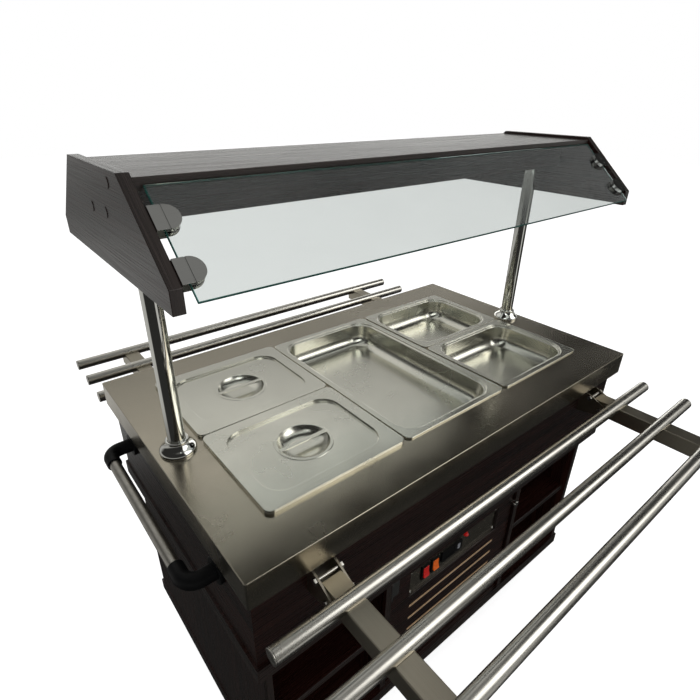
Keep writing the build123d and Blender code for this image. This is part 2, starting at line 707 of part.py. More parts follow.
def pan_lid(name, x, y):
    """Make one pressed lid: turned-down edge, sunk panel, and a ringed dish with a grip across it."""
    low = TOP_Z + SEAT + RIM_H + SEAT
    top = low + LID_EDGE_H
    panel_w = PAN_W - 2 * LID_BORDER
    panel_l = HALF_PAN_L - 2 * LID_BORDER
    sunk = top - LID_SINK
    floor = sunk - LID_T
    dish = DISH_D / 2
    ring = dish + DISH_RING_W
    with BuildPart() as lid:
        with BuildSketch(Plane.XY.offset(low)):
            with Locations((x, y)):
                RectangleRounded(PAN_W, HALF_PAN_L, RIM_R)
        extrude(amount=LID_EDGE_H)
        fillet(lid.faces().sort_by(Axis.Z)[-1].edges(), LID_EDGE_R)
        with BuildSketch(Plane.XY.offset(low)):
            with Locations((x, y)):
                RectangleRounded(PAN_W - 2 * LID_EDGE_R, HALF_PAN_L - 2 * LID_EDGE_R, RIM_R - LID_EDGE_R)
        extrude(amount=LID_EDGE_H - LID_T, mode=Mode.SUBTRACT)
        with BuildSketch(Plane.XY.offset(floor)):
            with Locations((x, y)):
                RectangleRounded(panel_w + 2 * LID_T, panel_l + 2 * LID_T, LID_PANEL_R + LID_T)
        extrude(amount=top - floor - LID_T / 2)
        with BuildSketch(Plane.XY.offset(sunk)):
            with Locations((x, y)):
                RectangleRounded(panel_w, panel_l, LID_PANEL_R)
        extrude(amount=LID_SINK, mode=Mode.SUBTRACT)
        inner = lid.edges().filter_by(lambda edge: abs(edge.center().X - x) < panel_w / 2 + LID_T)
        inner = inner.filter_by(lambda edge: abs(edge.center().Y - y) < panel_l / 2 + LID_T)
        fillet(inner.group_by(Axis.Z)[-1], LID_FOLD_R)
        with BuildSketch(Plane.XY.offset(sunk)):
            with Locations((x, y)):
                Circle(ring)
        extrude(amount=DISH_RING_H)
        with BuildSketch(Plane.XY.offset(floor)):
            with Locations((x, y)):
                Circle(dish)
        extrude(amount=LID_SINK, mode=Mode.SUBTRACT)
        with BuildSketch(facing_front(x, y, sunk)):
            with BuildLine():
                Line((0, DISH_RING_H - DISH_DEPTH), (DISH_FLOOR_R, DISH_RING_H - DISH_DEPTH))
                TangentArc((DISH_FLOOR_R, DISH_RING_H - DISH_DEPTH), (dish, DISH_RING_H), tangent=(1, 0))
                Line((dish, DISH_RING_H), (dish + LID_T, DISH_RING_H))
                Line((dish + LID_T, DISH_RING_H), (dish + LID_T, -LID_T))
                TangentArc((DISH_FLOOR_R, DISH_RING_H - DISH_DEPTH - LID_T), (dish + LID_T, -LID_T), tangent=(1, 0))
                Line((DISH_FLOOR_R, DISH_RING_H - DISH_DEPTH - LID_T), (0, DISH_RING_H - DISH_DEPTH - LID_T))
                Line((0, DISH_RING_H - DISH_DEPTH - LID_T), (0, DISH_RING_H - DISH_DEPTH))
            make_face()
        revolve(axis=Axis((x, y, 0), (0, 0, 1)))
        with BuildSketch(Plane.XY.offset(sunk + DISH_RING_H - GRIP_T)):
            with Locations((x, y)):
                Rectangle(DISH_D + LID_T, GRIP_W)
        extrude(amount=GRIP_T)
    keep(lid, name)


food_pan("pan_full", 0, 0, PAN_L)
food_pan("pan_half_left_front", -COLUMN, -HALF_PAN_Y, HALF_PAN_L)
food_pan("pan_half_left_rear", -COLUMN, HALF_PAN_Y, HALF_PAN_L)
food_pan("pan_half_right_front", COLUMN, -HALF_PAN_Y, HALF_PAN_L)
food_pan("pan_half_right_rear", COLUMN, HALF_PAN_Y, HALF_PAN_L)
pan_lid("lid_front", -COLUMN, -HALF_PAN_Y)
pan_lid("lid_rear", -COLUMN, HALF_PAN_Y)

# Canopy: posts, boards, glass guards and their clamps
POST_TOP = TOP_Z + CANOPY_SHELF_TOP - BOARD

with BuildPart() as posts:
    for x in (-POST_X, POST_X):
        add_ring(POST_D / 2, POST_D / 2 - POST_WALL, TOP_Z, POST_TOP, x)
        add_ring(FOOT_D / 2, POST_D / 2 + FIT, TOP_Z, TOP_Z + FOOT_T, x)
        add_ring(FOOT_D / 2, POST_D / 2 + FIT, POST_TOP - FOOT_T, POST_TOP, x)
keep(posts, "posts")

with BuildPart() as post_rosettes:
    neck = POST_D / 2 + FIT
    foot = ROSETTE_D / 2
    recess = TOP_Z + FOOT_T + SEAT
    for x in (-POST_X, POST_X):
        with BuildSketch(Plane.XZ) as profile:
            with BuildLine():
                Polyline(
                    (x + foot - ROSETTE_T, TOP_Z),
                    (x + foot, TOP_Z),
                    (x + foot, recess + ROSETTE_T),
                )
                ThreePointArc(
                    (x + foot, recess + ROSETTE_T),
                    (x + neck + 0.78 * (foot - neck), recess + 0.52 * (ROSETTE_H - FOOT_T)),
                    (x + neck + ROSETTE_T, TOP_Z + ROSETTE_H - ROSETTE_NECK / 2),
                )
                Polyline(
                    (x + neck + ROSETTE_T, TOP_Z + ROSETTE_H - ROSETTE_NECK / 2),
                    (x + neck + ROSETTE_T, TOP_Z + ROSETTE_H),
                    (x + neck, TOP_Z + ROSETTE_H),
                    (x + neck, recess),
                    (x + foot - ROSETTE_T, recess),
                    (x + foot - ROSETTE_T, TOP_Z),
                )
            make_face()
        revolve(profile.sketch, axis=Axis((x, 0, 0), (0, 0, 1)))
keep(post_rosettes, "post_rosettes")

with BuildPart() as canopy_ends:
    for start in (-PANEL_X - BOARD, PANEL_X):
        with BuildSketch(Plane.YZ.offset(start)) as outline:
            with BuildLine():
                Polyline(
                    (-PANEL_TOP_W / 2, TOP_Z + PANEL_TOP),
                    (PANEL_TOP_W / 2, TOP_Z + PANEL_TOP),
                    (PANEL_W / 2, TOP_Z + NOSE_TOP),
                    (PANEL_W / 2, TOP_Z + NOSE_LOW),
                    (-PANEL_W / 2, TOP_Z + NOSE_LOW),
                    (-PANEL_W / 2, TOP_Z + NOSE_TOP),
                    close=True,
                )
            make_face()
        extrude(outline.sketch, amount=BOARD)
keep(canopy_ends, "canopy_ends")

with BuildPart() as canopy_shelf:
    add_board((-PANEL_X, PANEL_X), (-CANOPY_SHELF_W / 2, CANOPY_SHELF_W / 2), (POST_TOP, POST_TOP + BOARD))
    for face in (-RAIL_Y, RAIL_Y - BOARD):
        add_board((-PANEL_X, PANEL_X), (face, face + BOARD), (TOP_Z + RAIL_LOW, POST_TOP))
keep(canopy_shelf, "canopy_shelf")


def slope_plane(side, x, along, depth, inward=1):
    """Return a plane in the sloping guard, its X towards the middle and its normal outwards."""
    y = PANEL_TOP_W / 2 + along * SLOPE_OUT - depth * SLOPE_DOWN
    z = TOP_Z + PANEL_TOP - along * SLOPE_DOWN - depth * SLOPE_OUT
    return Plane(origin=(x, side * y, z), x_dir=(inward, 0, 0), z_dir=(0, side * SLOPE_DOWN, SLOPE_OUT))


GLASS_MID = GLASS_INSET + GLASS_T / 2

with BuildPart() as guard_glass:
    for side in (-1, 1):
        with BuildSketch(slope_plane(side, 0, GLASS_START + GLASS_H / 2, GLASS_MID)) as pane:
            RectangleRounded(GLASS_L, GLASS_H, GLASS_T)
        extrude(pane.sketch, amount=GLASS_T / 2, both=True)
keep(guard_glass, "guard_glass")

with BuildPart() as glass_clamps:
    grip_from = PANEL_X - GLASS_L / 2 - FIT
    straight = CLAMP_DEPTH - CLAMP_W / 2
    for side in (-1, 1):
        for end in (-1, 1):
            for along in CLAMP_ALONG:
                place = slope_plane(side, end * PANEL_X, along, GLASS_MID, inward=-end)
                with BuildSketch(place) as body:
                    with Locations((straight / 2, 0)):
                        Rectangle(straight, CLAMP_W)
                    with Locations((straight, 0)):
                        Circle(CLAMP_W / 2)
                extrude(body.sketch, amount=CLAMP_T / 2, both=True)
                with BuildSketch(place) as slot:
                    with Locations((grip_from + CLAMP_DEPTH / 2, 0)):
                        Rectangle(CLAMP_DEPTH, 2 * CLAMP_W)
                extrude(slot.sketch, amount=GLASS_T / 2 + FIT, both=True, mode=Mode.SUBTRACT)
                for face in (-1, 1):
                    with BuildSketch(place.offset(face * CLAMP_T / 2)) as groove:
                        with Locations((CLAMP_GROOVE_X, 0)):
                            Rectangle(CLAMP_GROOVE, 2 * CLAMP_W)
                    extrude(groove.sketch, amount=CLAMP_GROOVE / 2, both=True, mode=Mode.SUBTRACT)
keep(glass_clamps, "glass_clamps")


# Tray slides, one for each long side
def tray_slide(name, side):
    """Make the arms and the tubes of one folding tray slide."""
    arm_far = TUBE_YS[-1] + TUBE_D / 2 + ARM_END
    pocket_from = ARM_PIVOT_Y + ARM_ROUND_R
    with BuildPart() as arms:
        for x in (-ARM_X, ARM_X):
            with BuildSketch(Plane.YZ.offset(x - ARM_W / 2)) as outline:
                with Locations((side * ARM_PIVOT_Y, PIVOT_Z)):
                    Circle(ARM_ROUND_R)
                with Locations((side * (ARM_PIVOT_Y + arm_far) / 2, PIVOT_Z)):
                    Rectangle(arm_far - ARM_PIVOT_Y, 3 * ARM_W)
                with Locations((side * ARM_PIVOT_Y, ARM_TOP - ARM_W / 2)):
                    Rectangle(2 * arm_far, ARM_W, mode=Mode.INTERSECT)
            extrude(outline.sketch, amount=ARM_W)
            with BuildSketch(Plane.YZ.offset(x - ARM_W / 2 + ARM_WALL)) as hollow:
                with Locations((side * (pocket_from + arm_far) / 2, ARM_TOP - ARM_W / 2)):
                    Rectangle(arm_far - pocket_from - 2 * ARM_WALL, ARM_W - 2 * ARM_WALL)
            extrude(hollow.sketch, amount=ARM_W - 2 * ARM_WALL, mode=Mode.SUBTRACT)
            for y in TUBE_YS:
                add_bar_x(TUBE_D / 2 + FIT, x - ARM_W, x + ARM_W, side * y, ARM_TOP, mode=Mode.SUBTRACT)
            add_bar_x(BOLT_D / 2 + RUN, x - ARM_W, x + ARM_W, side * ARM_PIVOT_Y, PIVOT_Z, mode=Mode.SUBTRACT)
    keep(arms, f"{name}_slide_arms")

    with BuildPart() as tubes:
        for y in TUBE_YS:
            with BuildSketch(Plane.YZ.offset(-TUBE_L / 2 + CAP_T + SEAT)) as section:
                with Locations((side * y, ARM_TOP)):
                    Circle(TUBE_D / 2)
                    Circle(TUBE_D / 2 - TUBE_WALL, mode=Mode.SUBTRACT)
            extrude(section.sketch, amount=TUBE_L - 2 * CAP_T - 2 * SEAT)
        for y in TUBE_YS:
            for end in (-1, 1):
                outer = Plane(origin=(end * TUBE_L / 2, side * y, ARM_TOP), z_dir=(-end, 0, 0))
                with BuildSketch(outer) as disc:
                    Circle(TUBE_D / 2)
                extrude(disc.sketch, amount=CAP_T)
                with BuildSketch(outer) as plug:
                    Circle(TUBE_D / 2 - TUBE_WALL - FIT)
                extrude(plug.sketch, amount=CAP_T + CAP_PLUG)
    keep(tubes, f"{name}_slide_tubes")


tray_slide("front", -1)
tray_slide("rear", 1)

with BuildPart() as slide_brackets:
    wall_y = UPPER_D / 2
    cheek = ARM_W / 2 + SIDE
    foot_top = LIP_Z - BRACKET_T
    for side in (-1, 1):
        for x in (-ARM_X, ARM_X):
            for inner in (x - cheek - BRACKET_T, x + cheek):
                with BuildSketch(Plane.YZ.offset(inner)) as plate:
                    with Locations((side * ARM_PIVOT_Y, PIVOT_Z)):
                        Circle(BRACKET_PAD)
                    with Locations((side * TIE_Y, TIE_Z)):
                        Circle(BOLT_HEAD / 2 + SIDE)
                    with Locations((side * (wall_y + BRACKET_T / 2), foot_top - BRACKET_FOOT_H / 2)):
                        Rectangle(BRACKET_T, BRACKET_FOOT_H)
                    make_hull()
                extrude(plate.sketch, amount=BRACKET_T)
            foot_low = foot_top - BRACKET_FOOT_H
            ends = sorted((side * wall_y, side * (wall_y + BRACKET_T)))
            add_board((x - cheek - BRACKET_T, x + cheek + BRACKET_T), ends, (foot_low, foot_top))
            for y, z in ((ARM_PIVOT_Y, PIVOT_Z), (TIE_Y, TIE_Z)):
                add_bar_x(BOLT_D / 2 + FIT, x - ARM_W, x + ARM_W, side * y, z, mode=Mode.SUBTRACT)
keep(slide_brackets, "slide_brackets")

with BuildPart() as slide_bolts:
    reach = ARM_W / 2 + SIDE + BRACKET_T
    for side in (-1, 1):
        for x in (-ARM_X, ARM_X):
            for y, z in ((ARM_PIVOT_Y, PIVOT_Z), (TIE_Y, TIE_Z)):
                add_bar_x(BOLT_D / 2, x - reach, x + reach, side * y, z)
                for end in (-1, 1):
                    place = Plane(origin=(x + end * reach, side * y, z), z_dir=(end, 0, 0))
                    with BuildSketch(place) as head:
                        RegularPolygon(BOLT_HEAD / 2, 6)
                    extrude(head.sketch, amount=BOLT_HEAD_T)
keep(slide_bolts, "slide_bolts")

# Push handles on both ends
GRIP_X = UPPER_L / 2 + GRIP_OUT
GRIP_Z = LIP_Z - GRIP_BELOW_LIP

with BuildPart() as handle_grips:
    for end in (-1, 1):
        with BuildSketch(Plane.XZ.offset(-GRIP_HALF - SOCKET)) as section:
            with Locations((end * GRIP_X, GRIP_Z)):
                Circle(GRIP_D / 2)
                Circle(GRIP_D / 2 - GRIP_WALL, mode=Mode.SUBTRACT)
        extrude(section.sketch, amount=2 * (GRIP_HALF + SOCKET))
keep(handle_grips, "handle_grips")

with BuildPart() as handle_elbows:
    for end in (-1, 1):
        for side in (-1, 1):
            mouth = Vector(end * GRIP_X, side * GRIP_HALF, GRIP_Z)
            bend_y = side * (GRIP_HALF + SOCKET + FIT)
            with BuildLine(Plane.XY.offset(GRIP_Z)) as route:
                FilletPolyline(
                    (end * GRIP_X, side * GRIP_HALF),
                    (end * GRIP_X, bend_y + side * ELBOW_R),
                    (end * UPPER_L / 2, bend_y + side * ELBOW_R),
                    radius=ELBOW_R,
                )
            with BuildSketch(Plane(origin=mouth, z_dir=(0, side, 0))) as section:
                Circle(ELBOW_D / 2)
            sweep(section.sketch, path=route.line)
            foot = Plane(origin=(end * UPPER_L / 2, bend_y + side * ELBOW_R, GRIP_Z), z_dir=(end, 0, 0))
            with BuildSketch(foot) as flange:
                Circle(ELBOW_FOOT_D / 2)
            extrude(flange.sketch, amount=ELBOW_FOOT_T)
            with BuildSketch(Plane(origin=mouth, z_dir=(0, side, 0))) as socket:
                Circle(GRIP_D / 2 + FIT)
            extrude(socket.sketch, amount=SOCKET + FIT, mode=Mode.SUBTRACT)
keep(handle_elbows, "handle_elbows")

# Service door: vent slots, a rebated window for the control plate, hinges and knob
DOOR_LOW = BAY_Z + DOOR_MARGIN
DOOR_HIGH = MID_Z - DOOR_MARGIN

with BuildPart() as service_door:
    add_board((-DOOR_HALF, DOOR_HALF), (-DOOR_FACE, -DOOR_BACK), (DOOR_LOW, DOOR_HIGH))
    with BuildSketch(facing_front(0, -PLATE_FACE - PLATE_RECESS, PLATE_Z)) as rebate:
        Rectangle(PLATE_W + 2 * FIT, PLATE_H + 2 * FIT)
    extrude(rebate.sketch, amount=-PLATE_RECESS - PLATE_T, mode=Mode.SUBTRACT)
    with BuildSketch(facing_front(0, -DOOR_FACE, PLATE_Z)) as window:
        Rectangle(PLATE_W - 2 * PLATE_LEDGE, PLATE_H - 2 * PLATE_LEDGE)
    extrude(window.sketch, amount=-BOARD, mode=Mode.SUBTRACT)
    with BuildSketch(facing_front(0, -DOOR_FACE, MID_Z - SLOT_FIRST_DROP)) as slots:
        for row in range(SLOT_COUNT):
            with Locations((0, -row * SLOT_PITCH)):
                Rectangle(SLOT_W, SLOT_H)
    extrude(slots.sketch, amount=-BOARD, mode=Mode.SUBTRACT)
keep(service_door, "service_door")

HINGE_ZS = (DOOR_LOW + HINGE_INSET, DOOR_HIGH - HINGE_INSET - HINGE_H)
KNUCKLE = HINGE_H / 3
PIN_AXIS = (-HINGE_X, -HINGE_Y)

with BuildPart() as hinge_leaves_fixed:
    leaf = (-PARTITION_X, -PARTITION_X + HINGE_LEAF)
    for low in HINGE_ZS:
        add_board(leaf, (-DOOR_FACE, -DOOR_FACE + HINGE_LEAF_W), (low, low + HINGE_H))
        for base in (low, low + 2 * KNUCKLE):
            add_board(leaf, (-HINGE_Y, -DOOR_FACE), (base, base + KNUCKLE))
            add_ring(HINGE_D / 2, 0, base, base + KNUCKLE, *PIN_AXIS)
        add_ring(HINGE_PIN_D / 2, 0, low, low + HINGE_H, *PIN_AXIS)
keep(hinge_leaves_fixed, "hinge_leaves_fixed")

with BuildPart() as hinge_leaves_door:
    plate_x = -HINGE_X + HINGE_D / 2 + SIDE
    leaf = (-DOOR_FACE - HINGE_LEAF, -DOOR_FACE)
    for low in HINGE_ZS:
        span = (low + KNUCKLE + HINGE_JOINT, low + 2 * KNUCKLE - HINGE_JOINT)
        add_board((plate_x, plate_x + HINGE_LEAF_W), leaf, (low, low + HINGE_H))
        add_board((-HINGE_X, plate_x), leaf, span)
        add_ring(HINGE_D / 2, HINGE_PIN_D / 2 + RUN, *span, *PIN_AXIS)
keep(hinge_leaves_door, "hinge_leaves_door")

with BuildPart() as door_knob:
    knob_z = MID_Z - KNOB_DROP
    head = KNOB_D / 2
    head_from = DOOR_FACE + 0.4 * KNOB_OUT
    head_to = DOOR_FACE + KNOB_OUT
    with BuildSketch(Plane.XY.offset(knob_z)):
        with BuildLine():
            Polyline(
                (KNOB_X, -DOOR_FACE),
                (KNOB_X + KNOB_NECK / 2, -DOOR_FACE),
                (KNOB_X + KNOB_NECK / 2, -head_from),
                (KNOB_X + 0.8 * head, -head_from),
            )
            ThreePointArc(
                (KNOB_X + 0.8 * head, -head_from),
                (KNOB_X + head, -(head_from + head_to) / 2),
                (KNOB_X + 0.8 * head, -head_to),
            )
            Polyline((KNOB_X + 0.8 * head, -head_to), (KNOB_X, -head_to), (KNOB_X, -DOOR_FACE))
        make_face()
    revolve(axis=Axis((KNOB_X, 0, knob_z), (0, 1, 0)))
keep(door_knob, "door_knob")

# Controls on the door
ROCKER_Z = MID_Z - ROCKER_DROP
THERMO_Z = MID_Z - THERMO_DROP
LAMP_Z = MID_Z - LAMP_DROP
HOUSING_W = BEZEL_W - 2 * BEZEL_STEP
HOUSING_H = BEZEL_H - 2 * BEZEL_STEP

with BuildPart() as control_plate:
    with BuildSketch(facing_front(0, -PLATE_FACE + PLATE_T, PLATE_Z)):
        Rectangle(PLATE_W, PLATE_H)
        with Locations(
            (ROCKER_RED_X, ROCKER_Z - PLATE_Z),
            (ROCKER_AMBER_X, ROCKER_Z - PLATE_Z),
        ):
            Rectangle(HOUSING_W + 2 * FIT, HOUSING_H + 2 * FIT, mode=Mode.SUBTRACT)
        with Locations((THERMO_X, THERMO_Z - PLATE_Z)):
            Rectangle(THERMO_BODY_W + 2 * FIT, THERMO_BODY_H + 2 * FIT, mode=Mode.SUBTRACT)
        with Locations((LAMP_X, LAMP_Z - PLATE_Z)):
            Circle(LAMP_STEM_D / 2 + FIT, mode=Mode.SUBTRACT)
    extrude(amount=PLATE_T)
keep(control_plate, "control_plate")

with BuildPart() as rocker_bezels:
    for x in (ROCKER_RED_X, ROCKER_AMBER_X):
        with BuildSketch(facing_front(x, -PLATE_FACE, ROCKER_Z)) as frame:
            RectangleRounded(BEZEL_W, BEZEL_H, BEZEL_STEP)
        extrude(frame.sketch, amount=BEZEL_T)
        with BuildSketch(facing_front(x, -PLATE_FACE, ROCKER_Z)) as housing:
            Rectangle(HOUSING_W, HOUSING_H)
        extrude(housing.sketch, amount=-HOUSING_DEPTH)
        with BuildSketch(facing_front(x, -PLATE_FACE - BEZEL_T, ROCKER_Z)) as pocket:
            Rectangle(ROCKER_W + 2 * SIDE, ROCKER_H + 2 * ROCKER_ROOM)
        extrude(pocket.sketch, amount=-BEZEL_T - 2 * ROCKER_BACK, mode=Mode.SUBTRACT)
        bearing = ROCKER_W / 2 + TRUNNION_OUT + SIDE
        add_bar_x(TRUNNION_D / 2 + RUN, x - bearing, x + bearing, -PLATE_FACE, ROCKER_Z, mode=Mode.SUBTRACT)
keep(rocker_bezels, "rocker_bezels")


def rocker(name, x):
    """Make one rocker with its trunnions, at rest with the top pressed in."""
    tilt = radians(ROCKER_TILT)
    place = Plane(origin=(x, -PLATE_FACE, ROCKER_Z), x_dir=(0, sin(tilt), cos(tilt)), z_dir=(1, 0, 0))
    half = ROCKER_H / 2
    with BuildPart() as key:
        with BuildSketch(place):
            with BuildLine():
                Polyline(
                    (-half, -ROCKER_BACK),
                    (half, -ROCKER_BACK),
                    (half, ROCKER_TIP),
                    (0, ROCKER_VALLEY),
                    (-half, ROCKER_TIP),
                    close=True,
                )
            make_face()
        extrude(amount=ROCKER_W / 2, both=True)
        reach = ROCKER_W / 2 + TRUNNION_OUT
        add_bar_x(TRUNNION_D / 2, x - reach, x + reach, -PLATE_FACE, ROCKER_Z)
    keep(key, name)


rocker("rocker_red", ROCKER_RED_X)
rocker("rocker_amber", ROCKER_AMBER_X)

THERMO_FACE = PLATE_FACE + THERMO_T
KEY_ZS = (THERMO_Z + KEY_PITCH / 2, THERMO_Z - KEY_PITCH / 2)

with BuildPart() as thermostat:
    with BuildSketch(facing_front(THERMO_X, -PLATE_FACE, THERMO_Z)) as case:
        RectangleRounded(THERMO_W, THERMO_H, 2 * EDGE_R)
    extrude(case.sketch, amount=THERMO_T)
    with BuildSketch(facing_front(THERMO_X, -PLATE_FACE, THERMO_Z)) as body:
        Rectangle(THERMO_BODY_W, THERMO_BODY_H)
    extrude(body.sketch, amount=-THERMO_BODY_DEPTH)
    with BuildSketch(facing_front(THERMO_X + DISPLAY_X, -THERMO_FACE, THERMO_Z)) as display:
        Rectangle(DISPLAY_W, DISPLAY_H)
    extrude(display.sketch, amount=-DISPLAY_DEPTH, mode=Mode.SUBTRACT)
    pocket_depth = KEY_LENGTH - KEY_OUT + KEY_TRAVEL + SIDE
    for z in KEY_ZS:
        with BuildSketch(facing_front(THERMO_X + KEY_X, -THERMO_FACE, z)) as pocket:
            Rectangle(KEY_W + 2 * FIT, KEY_H + 2 * FIT)
        extrude(pocket.sketch, amount=-pocket_depth, mode=Mode.SUBTRACT)
keep(thermostat, "thermostat")


def thermostat_key(name, z):
    """Make one push key of the thermostat."""
    with BuildPart() as key:
        with BuildSketch(facing_front(THERMO_X + KEY_X, -THERMO_FACE - KEY_OUT, z)):
            Rectangle(KEY_W, KEY_H)
        extrude(amount=-KEY_LENGTH)
    keep(key, name)


thermostat_key("thermostat_key_up", KEY_ZS[0])
thermostat_key("thermostat_key_down", KEY_ZS[1])

with BuildPart() as pilot_lamp:
    dome = LAMP_D / 2
    ring_to = PLATE_FACE + LAMP_RING_T
    with BuildSketch(Plane.XY.offset(LAMP_Z)):
        with BuildLine():
            Polyline(
                (LAMP_X, -PLATE_FACE + LAMP_STEM_L),
                (LAMP_X + LAMP_STEM_D / 2, -PLATE_FACE + LAMP_STEM_L),
                (LAMP_X + LAMP_STEM_D / 2, -PLATE_FACE),
                (LAMP_X + LAMP_RING / 2, -PLATE_FACE),
                (LAMP_X + LAMP_RING / 2, -ring_to),
                (LAMP_X + dome, -ring_to),
                (LAMP_X + dome, -PLATE_FACE - LAMP_OUT + dome),
            )
            ThreePointArc(
                (LAMP_X + dome, -PLATE_FACE - LAMP_OUT + dome),
                (LAMP_X + dome * cos(radians(45)), -PLATE_FACE - LAMP_OUT + dome - dome * sin(radians(45))),
                (LAMP_X, -PLATE_FACE - LAMP_OUT),
            )
            Line((LAMP_X, -PLATE_FACE - LAMP_OUT), (LAMP_X, -PLATE_FACE + LAMP_STEM_L))
        make_face()
    revolve(axis=Axis((LAMP_X, 0, LAMP_Z), (0, 1, 0)))
keep(pilot_lamp, "pilot_lamp")

# Castors: the fixed plates with their races and kingpins, then each fork and wheel
CASTOR_X = BASE_L / 2 - CASTOR_INSET
CASTOR_FRONT_Y = -BASE_FRONT + CASTOR_INSET
CASTOR_REAR_Y = BASE_BACK - CASTOR_INSET
RACE_Z = CASTOR_H - CASTOR_PLATE_T - RACE_T
HEAD_Z = FORK_TOP_Z - FORK_TOP_T - RACE_GAP
LEG_IN = HUB_W / 2 + FORK_SIDE

with BuildPart() as castor_plates:
    for x in (-CASTOR_X, CASTOR_X):
        for y in (CASTOR_FRONT_Y, CASTOR_REAR_Y):
            add_board(
                (x - PLATE_L / 2, x + PLATE_L / 2),
                (y - PLATE_B / 2, y + PLATE_B / 2),
                (CASTOR_H - CASTOR_PLATE_T, CASTOR_H),
                edge=4 * EDGE_R,
            )
            add_ring(RACE_D / 2, 0, RACE_Z, CASTOR_H - CASTOR_PLATE_T, x, y)
            add_ring(KINGPIN_D / 2, 0, HEAD_Z, RACE_Z, x, y)
            add_ring(KINGPIN_HEAD / 2, 0, HEAD_Z - KINGPIN_HEAD_T, HEAD_Z, x, y)
keep(castor_plates, "castor_plates")


def castor(name, x, y, out, braked):
    """Make the fork with its axle, the wheel and, where there is one, the brake pedal of one castor."""
    axle_x = x + out * TRAIL
    crown_x = x + out * FORK_TOP_AHEAD
    pin_x = x + out * PEDAL_PIN_AHEAD
    crown_z = FORK_TOP_Z - FORK_TOP_T / 2
    reach = LEG_IN + FORK_T
    with BuildPart() as fork:
        with BuildSketch(Plane.XY.offset(FORK_TOP_Z - FORK_TOP_T)) as crown:
            with Locations((crown_x, y)):
                Rectangle(FORK_TOP_L, 2 * reach)
            with Locations((x, y)):
                Circle(KINGPIN_D / 2 + RUN, mode=Mode.SUBTRACT)
        extrude(crown.sketch, amount=FORK_TOP_T)
        for start in (y + reach, y - LEG_IN):
            with BuildSketch(Plane.XZ.offset(-start)) as leg:
                with Locations((crown_x, crown_z)):
                    Rectangle(FORK_TOP_L, FORK_TOP_T)
                with Locations((axle_x, AXLE_Z)):
                    Circle(FORK_EYE_R)
                if braked:
                    with Locations((pin_x, PEDAL_PIN_Z)):
                        Circle(FORK_EYE_R / 2)
                make_hull()
                if braked:
                    with Locations((pin_x, PEDAL_PIN_Z)):
                        Circle(PEDAL_PIN_D / 2 + RUN, mode=Mode.SUBTRACT)
            extrude(leg.sketch, amount=FORK_T)
        with BuildSketch(Plane.XZ.offset(-y - reach)) as axle:
            with Locations((axle_x, AXLE_Z)):
                Circle(AXLE_D / 2)
        extrude(axle.sketch, amount=2 * reach)
        for start in (y + reach + AXLE_NUT_T, y - reach):
            with BuildSketch(Plane.XZ.offset(-start)) as nut:
                with Locations((axle_x, AXLE_Z)):
                    RegularPolygon(AXLE_NUT / 2, 6)
            extrude(nut.sketch, amount=AXLE_NUT_T)
    keep(fork, f"castor_fork_{name}")

    bore = AXLE_D / 2 + RUN
    tread = WHEEL_D / 2
    rim_in = tread - 3 * TREAD_CROWN
    with BuildPart() as wheel:
        with BuildSketch(Plane.XY.offset(AXLE_Z)):
            with BuildLine():
                Polyline(
                    (axle_x + tread - TREAD_CROWN, y + WHEEL_W / 2),
                    (axle_x + rim_in, y + WHEEL_W / 2),
                    (axle_x + rim_in, y + WEB_T / 2),
                    (axle_x + HUB_D / 2, y + WEB_T / 2),
                    (axle_x + HUB_D / 2, y + HUB_W / 2),
                    (axle_x + bore, y + HUB_W / 2),
                    (axle_x + bore, y - HUB_W / 2),
                    (axle_x + HUB_D / 2, y - HUB_W / 2),
                    (axle_x + HUB_D / 2, y - WEB_T / 2),
                    (axle_x + rim_in, y - WEB_T / 2),
                    (axle_x + rim_in, y - WHEEL_W / 2),
                    (axle_x + tread - TREAD_CROWN, y - WHEEL_W / 2),
                )
                ThreePointArc(
                    (axle_x + tread - TREAD_CROWN, y - WHEEL_W / 2),
                    (axle_x + tread, y),
                    (axle_x + tread - TREAD_CROWN, y + WHEEL_W / 2),
                )
            make_face()
        revolve(axis=Axis((axle_x, y, AXLE_Z), (0, 1, 0)))
    keep(wheel, f"castor_wheel_{name}")

    if braked:
        with BuildPart() as pedal:
            with BuildSketch(Plane.XZ.offset(-y - PEDAL_W / 2)) as lever:
                with Locations((pin_x, PEDAL_PIN_Z)):
                    Circle(PEDAL_PIN_D)
                with Locations((pin_x + out * PEDAL_L, PEDAL_PIN_Z - PEDAL_FALL)):
                    Circle(PEDAL_T / 2)
                make_hull()
            extrude(lever.sketch, amount=PEDAL_W)
            with BuildSketch(Plane.XZ.offset(-y - reach - SIDE)) as pin:
                with Locations((pin_x, PEDAL_PIN_Z)):
                    Circle(PEDAL_PIN_D / 2)
            extrude(pin.sketch, amount=2 * reach + 2 * SIDE)
        keep(pedal, f"brake_pedal_{name}")


castor("front_left", -CASTOR_X, CASTOR_FRONT_Y, -1, True)
castor("front_right", CASTOR_X, CASTOR_FRONT_Y, 1, True)
castor("rear_left", -CASTOR_X, CASTOR_REAR_Y, -1, False)
castor("rear_right", CASTOR_X, CASTOR_REAR_Y, 1, False)
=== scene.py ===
"""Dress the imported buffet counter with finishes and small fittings, and set up studio and camera.

Metres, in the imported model's own frame: +Z up, the floor at Z = 0, the control side towards -Y.
"""
import json
import logging
from dataclasses import dataclass
from enum import Enum
from functools import cache
from math import atan2, copysign, cos, pi, radians, sin
from typing import Iterable

import bmesh
import bpy
from bmesh.types import BMesh, BMFace, BMVert
from bpy.types import Material, NodeSocket as Socket, NodeTree, Object
from mathutils import Matrix, Vector


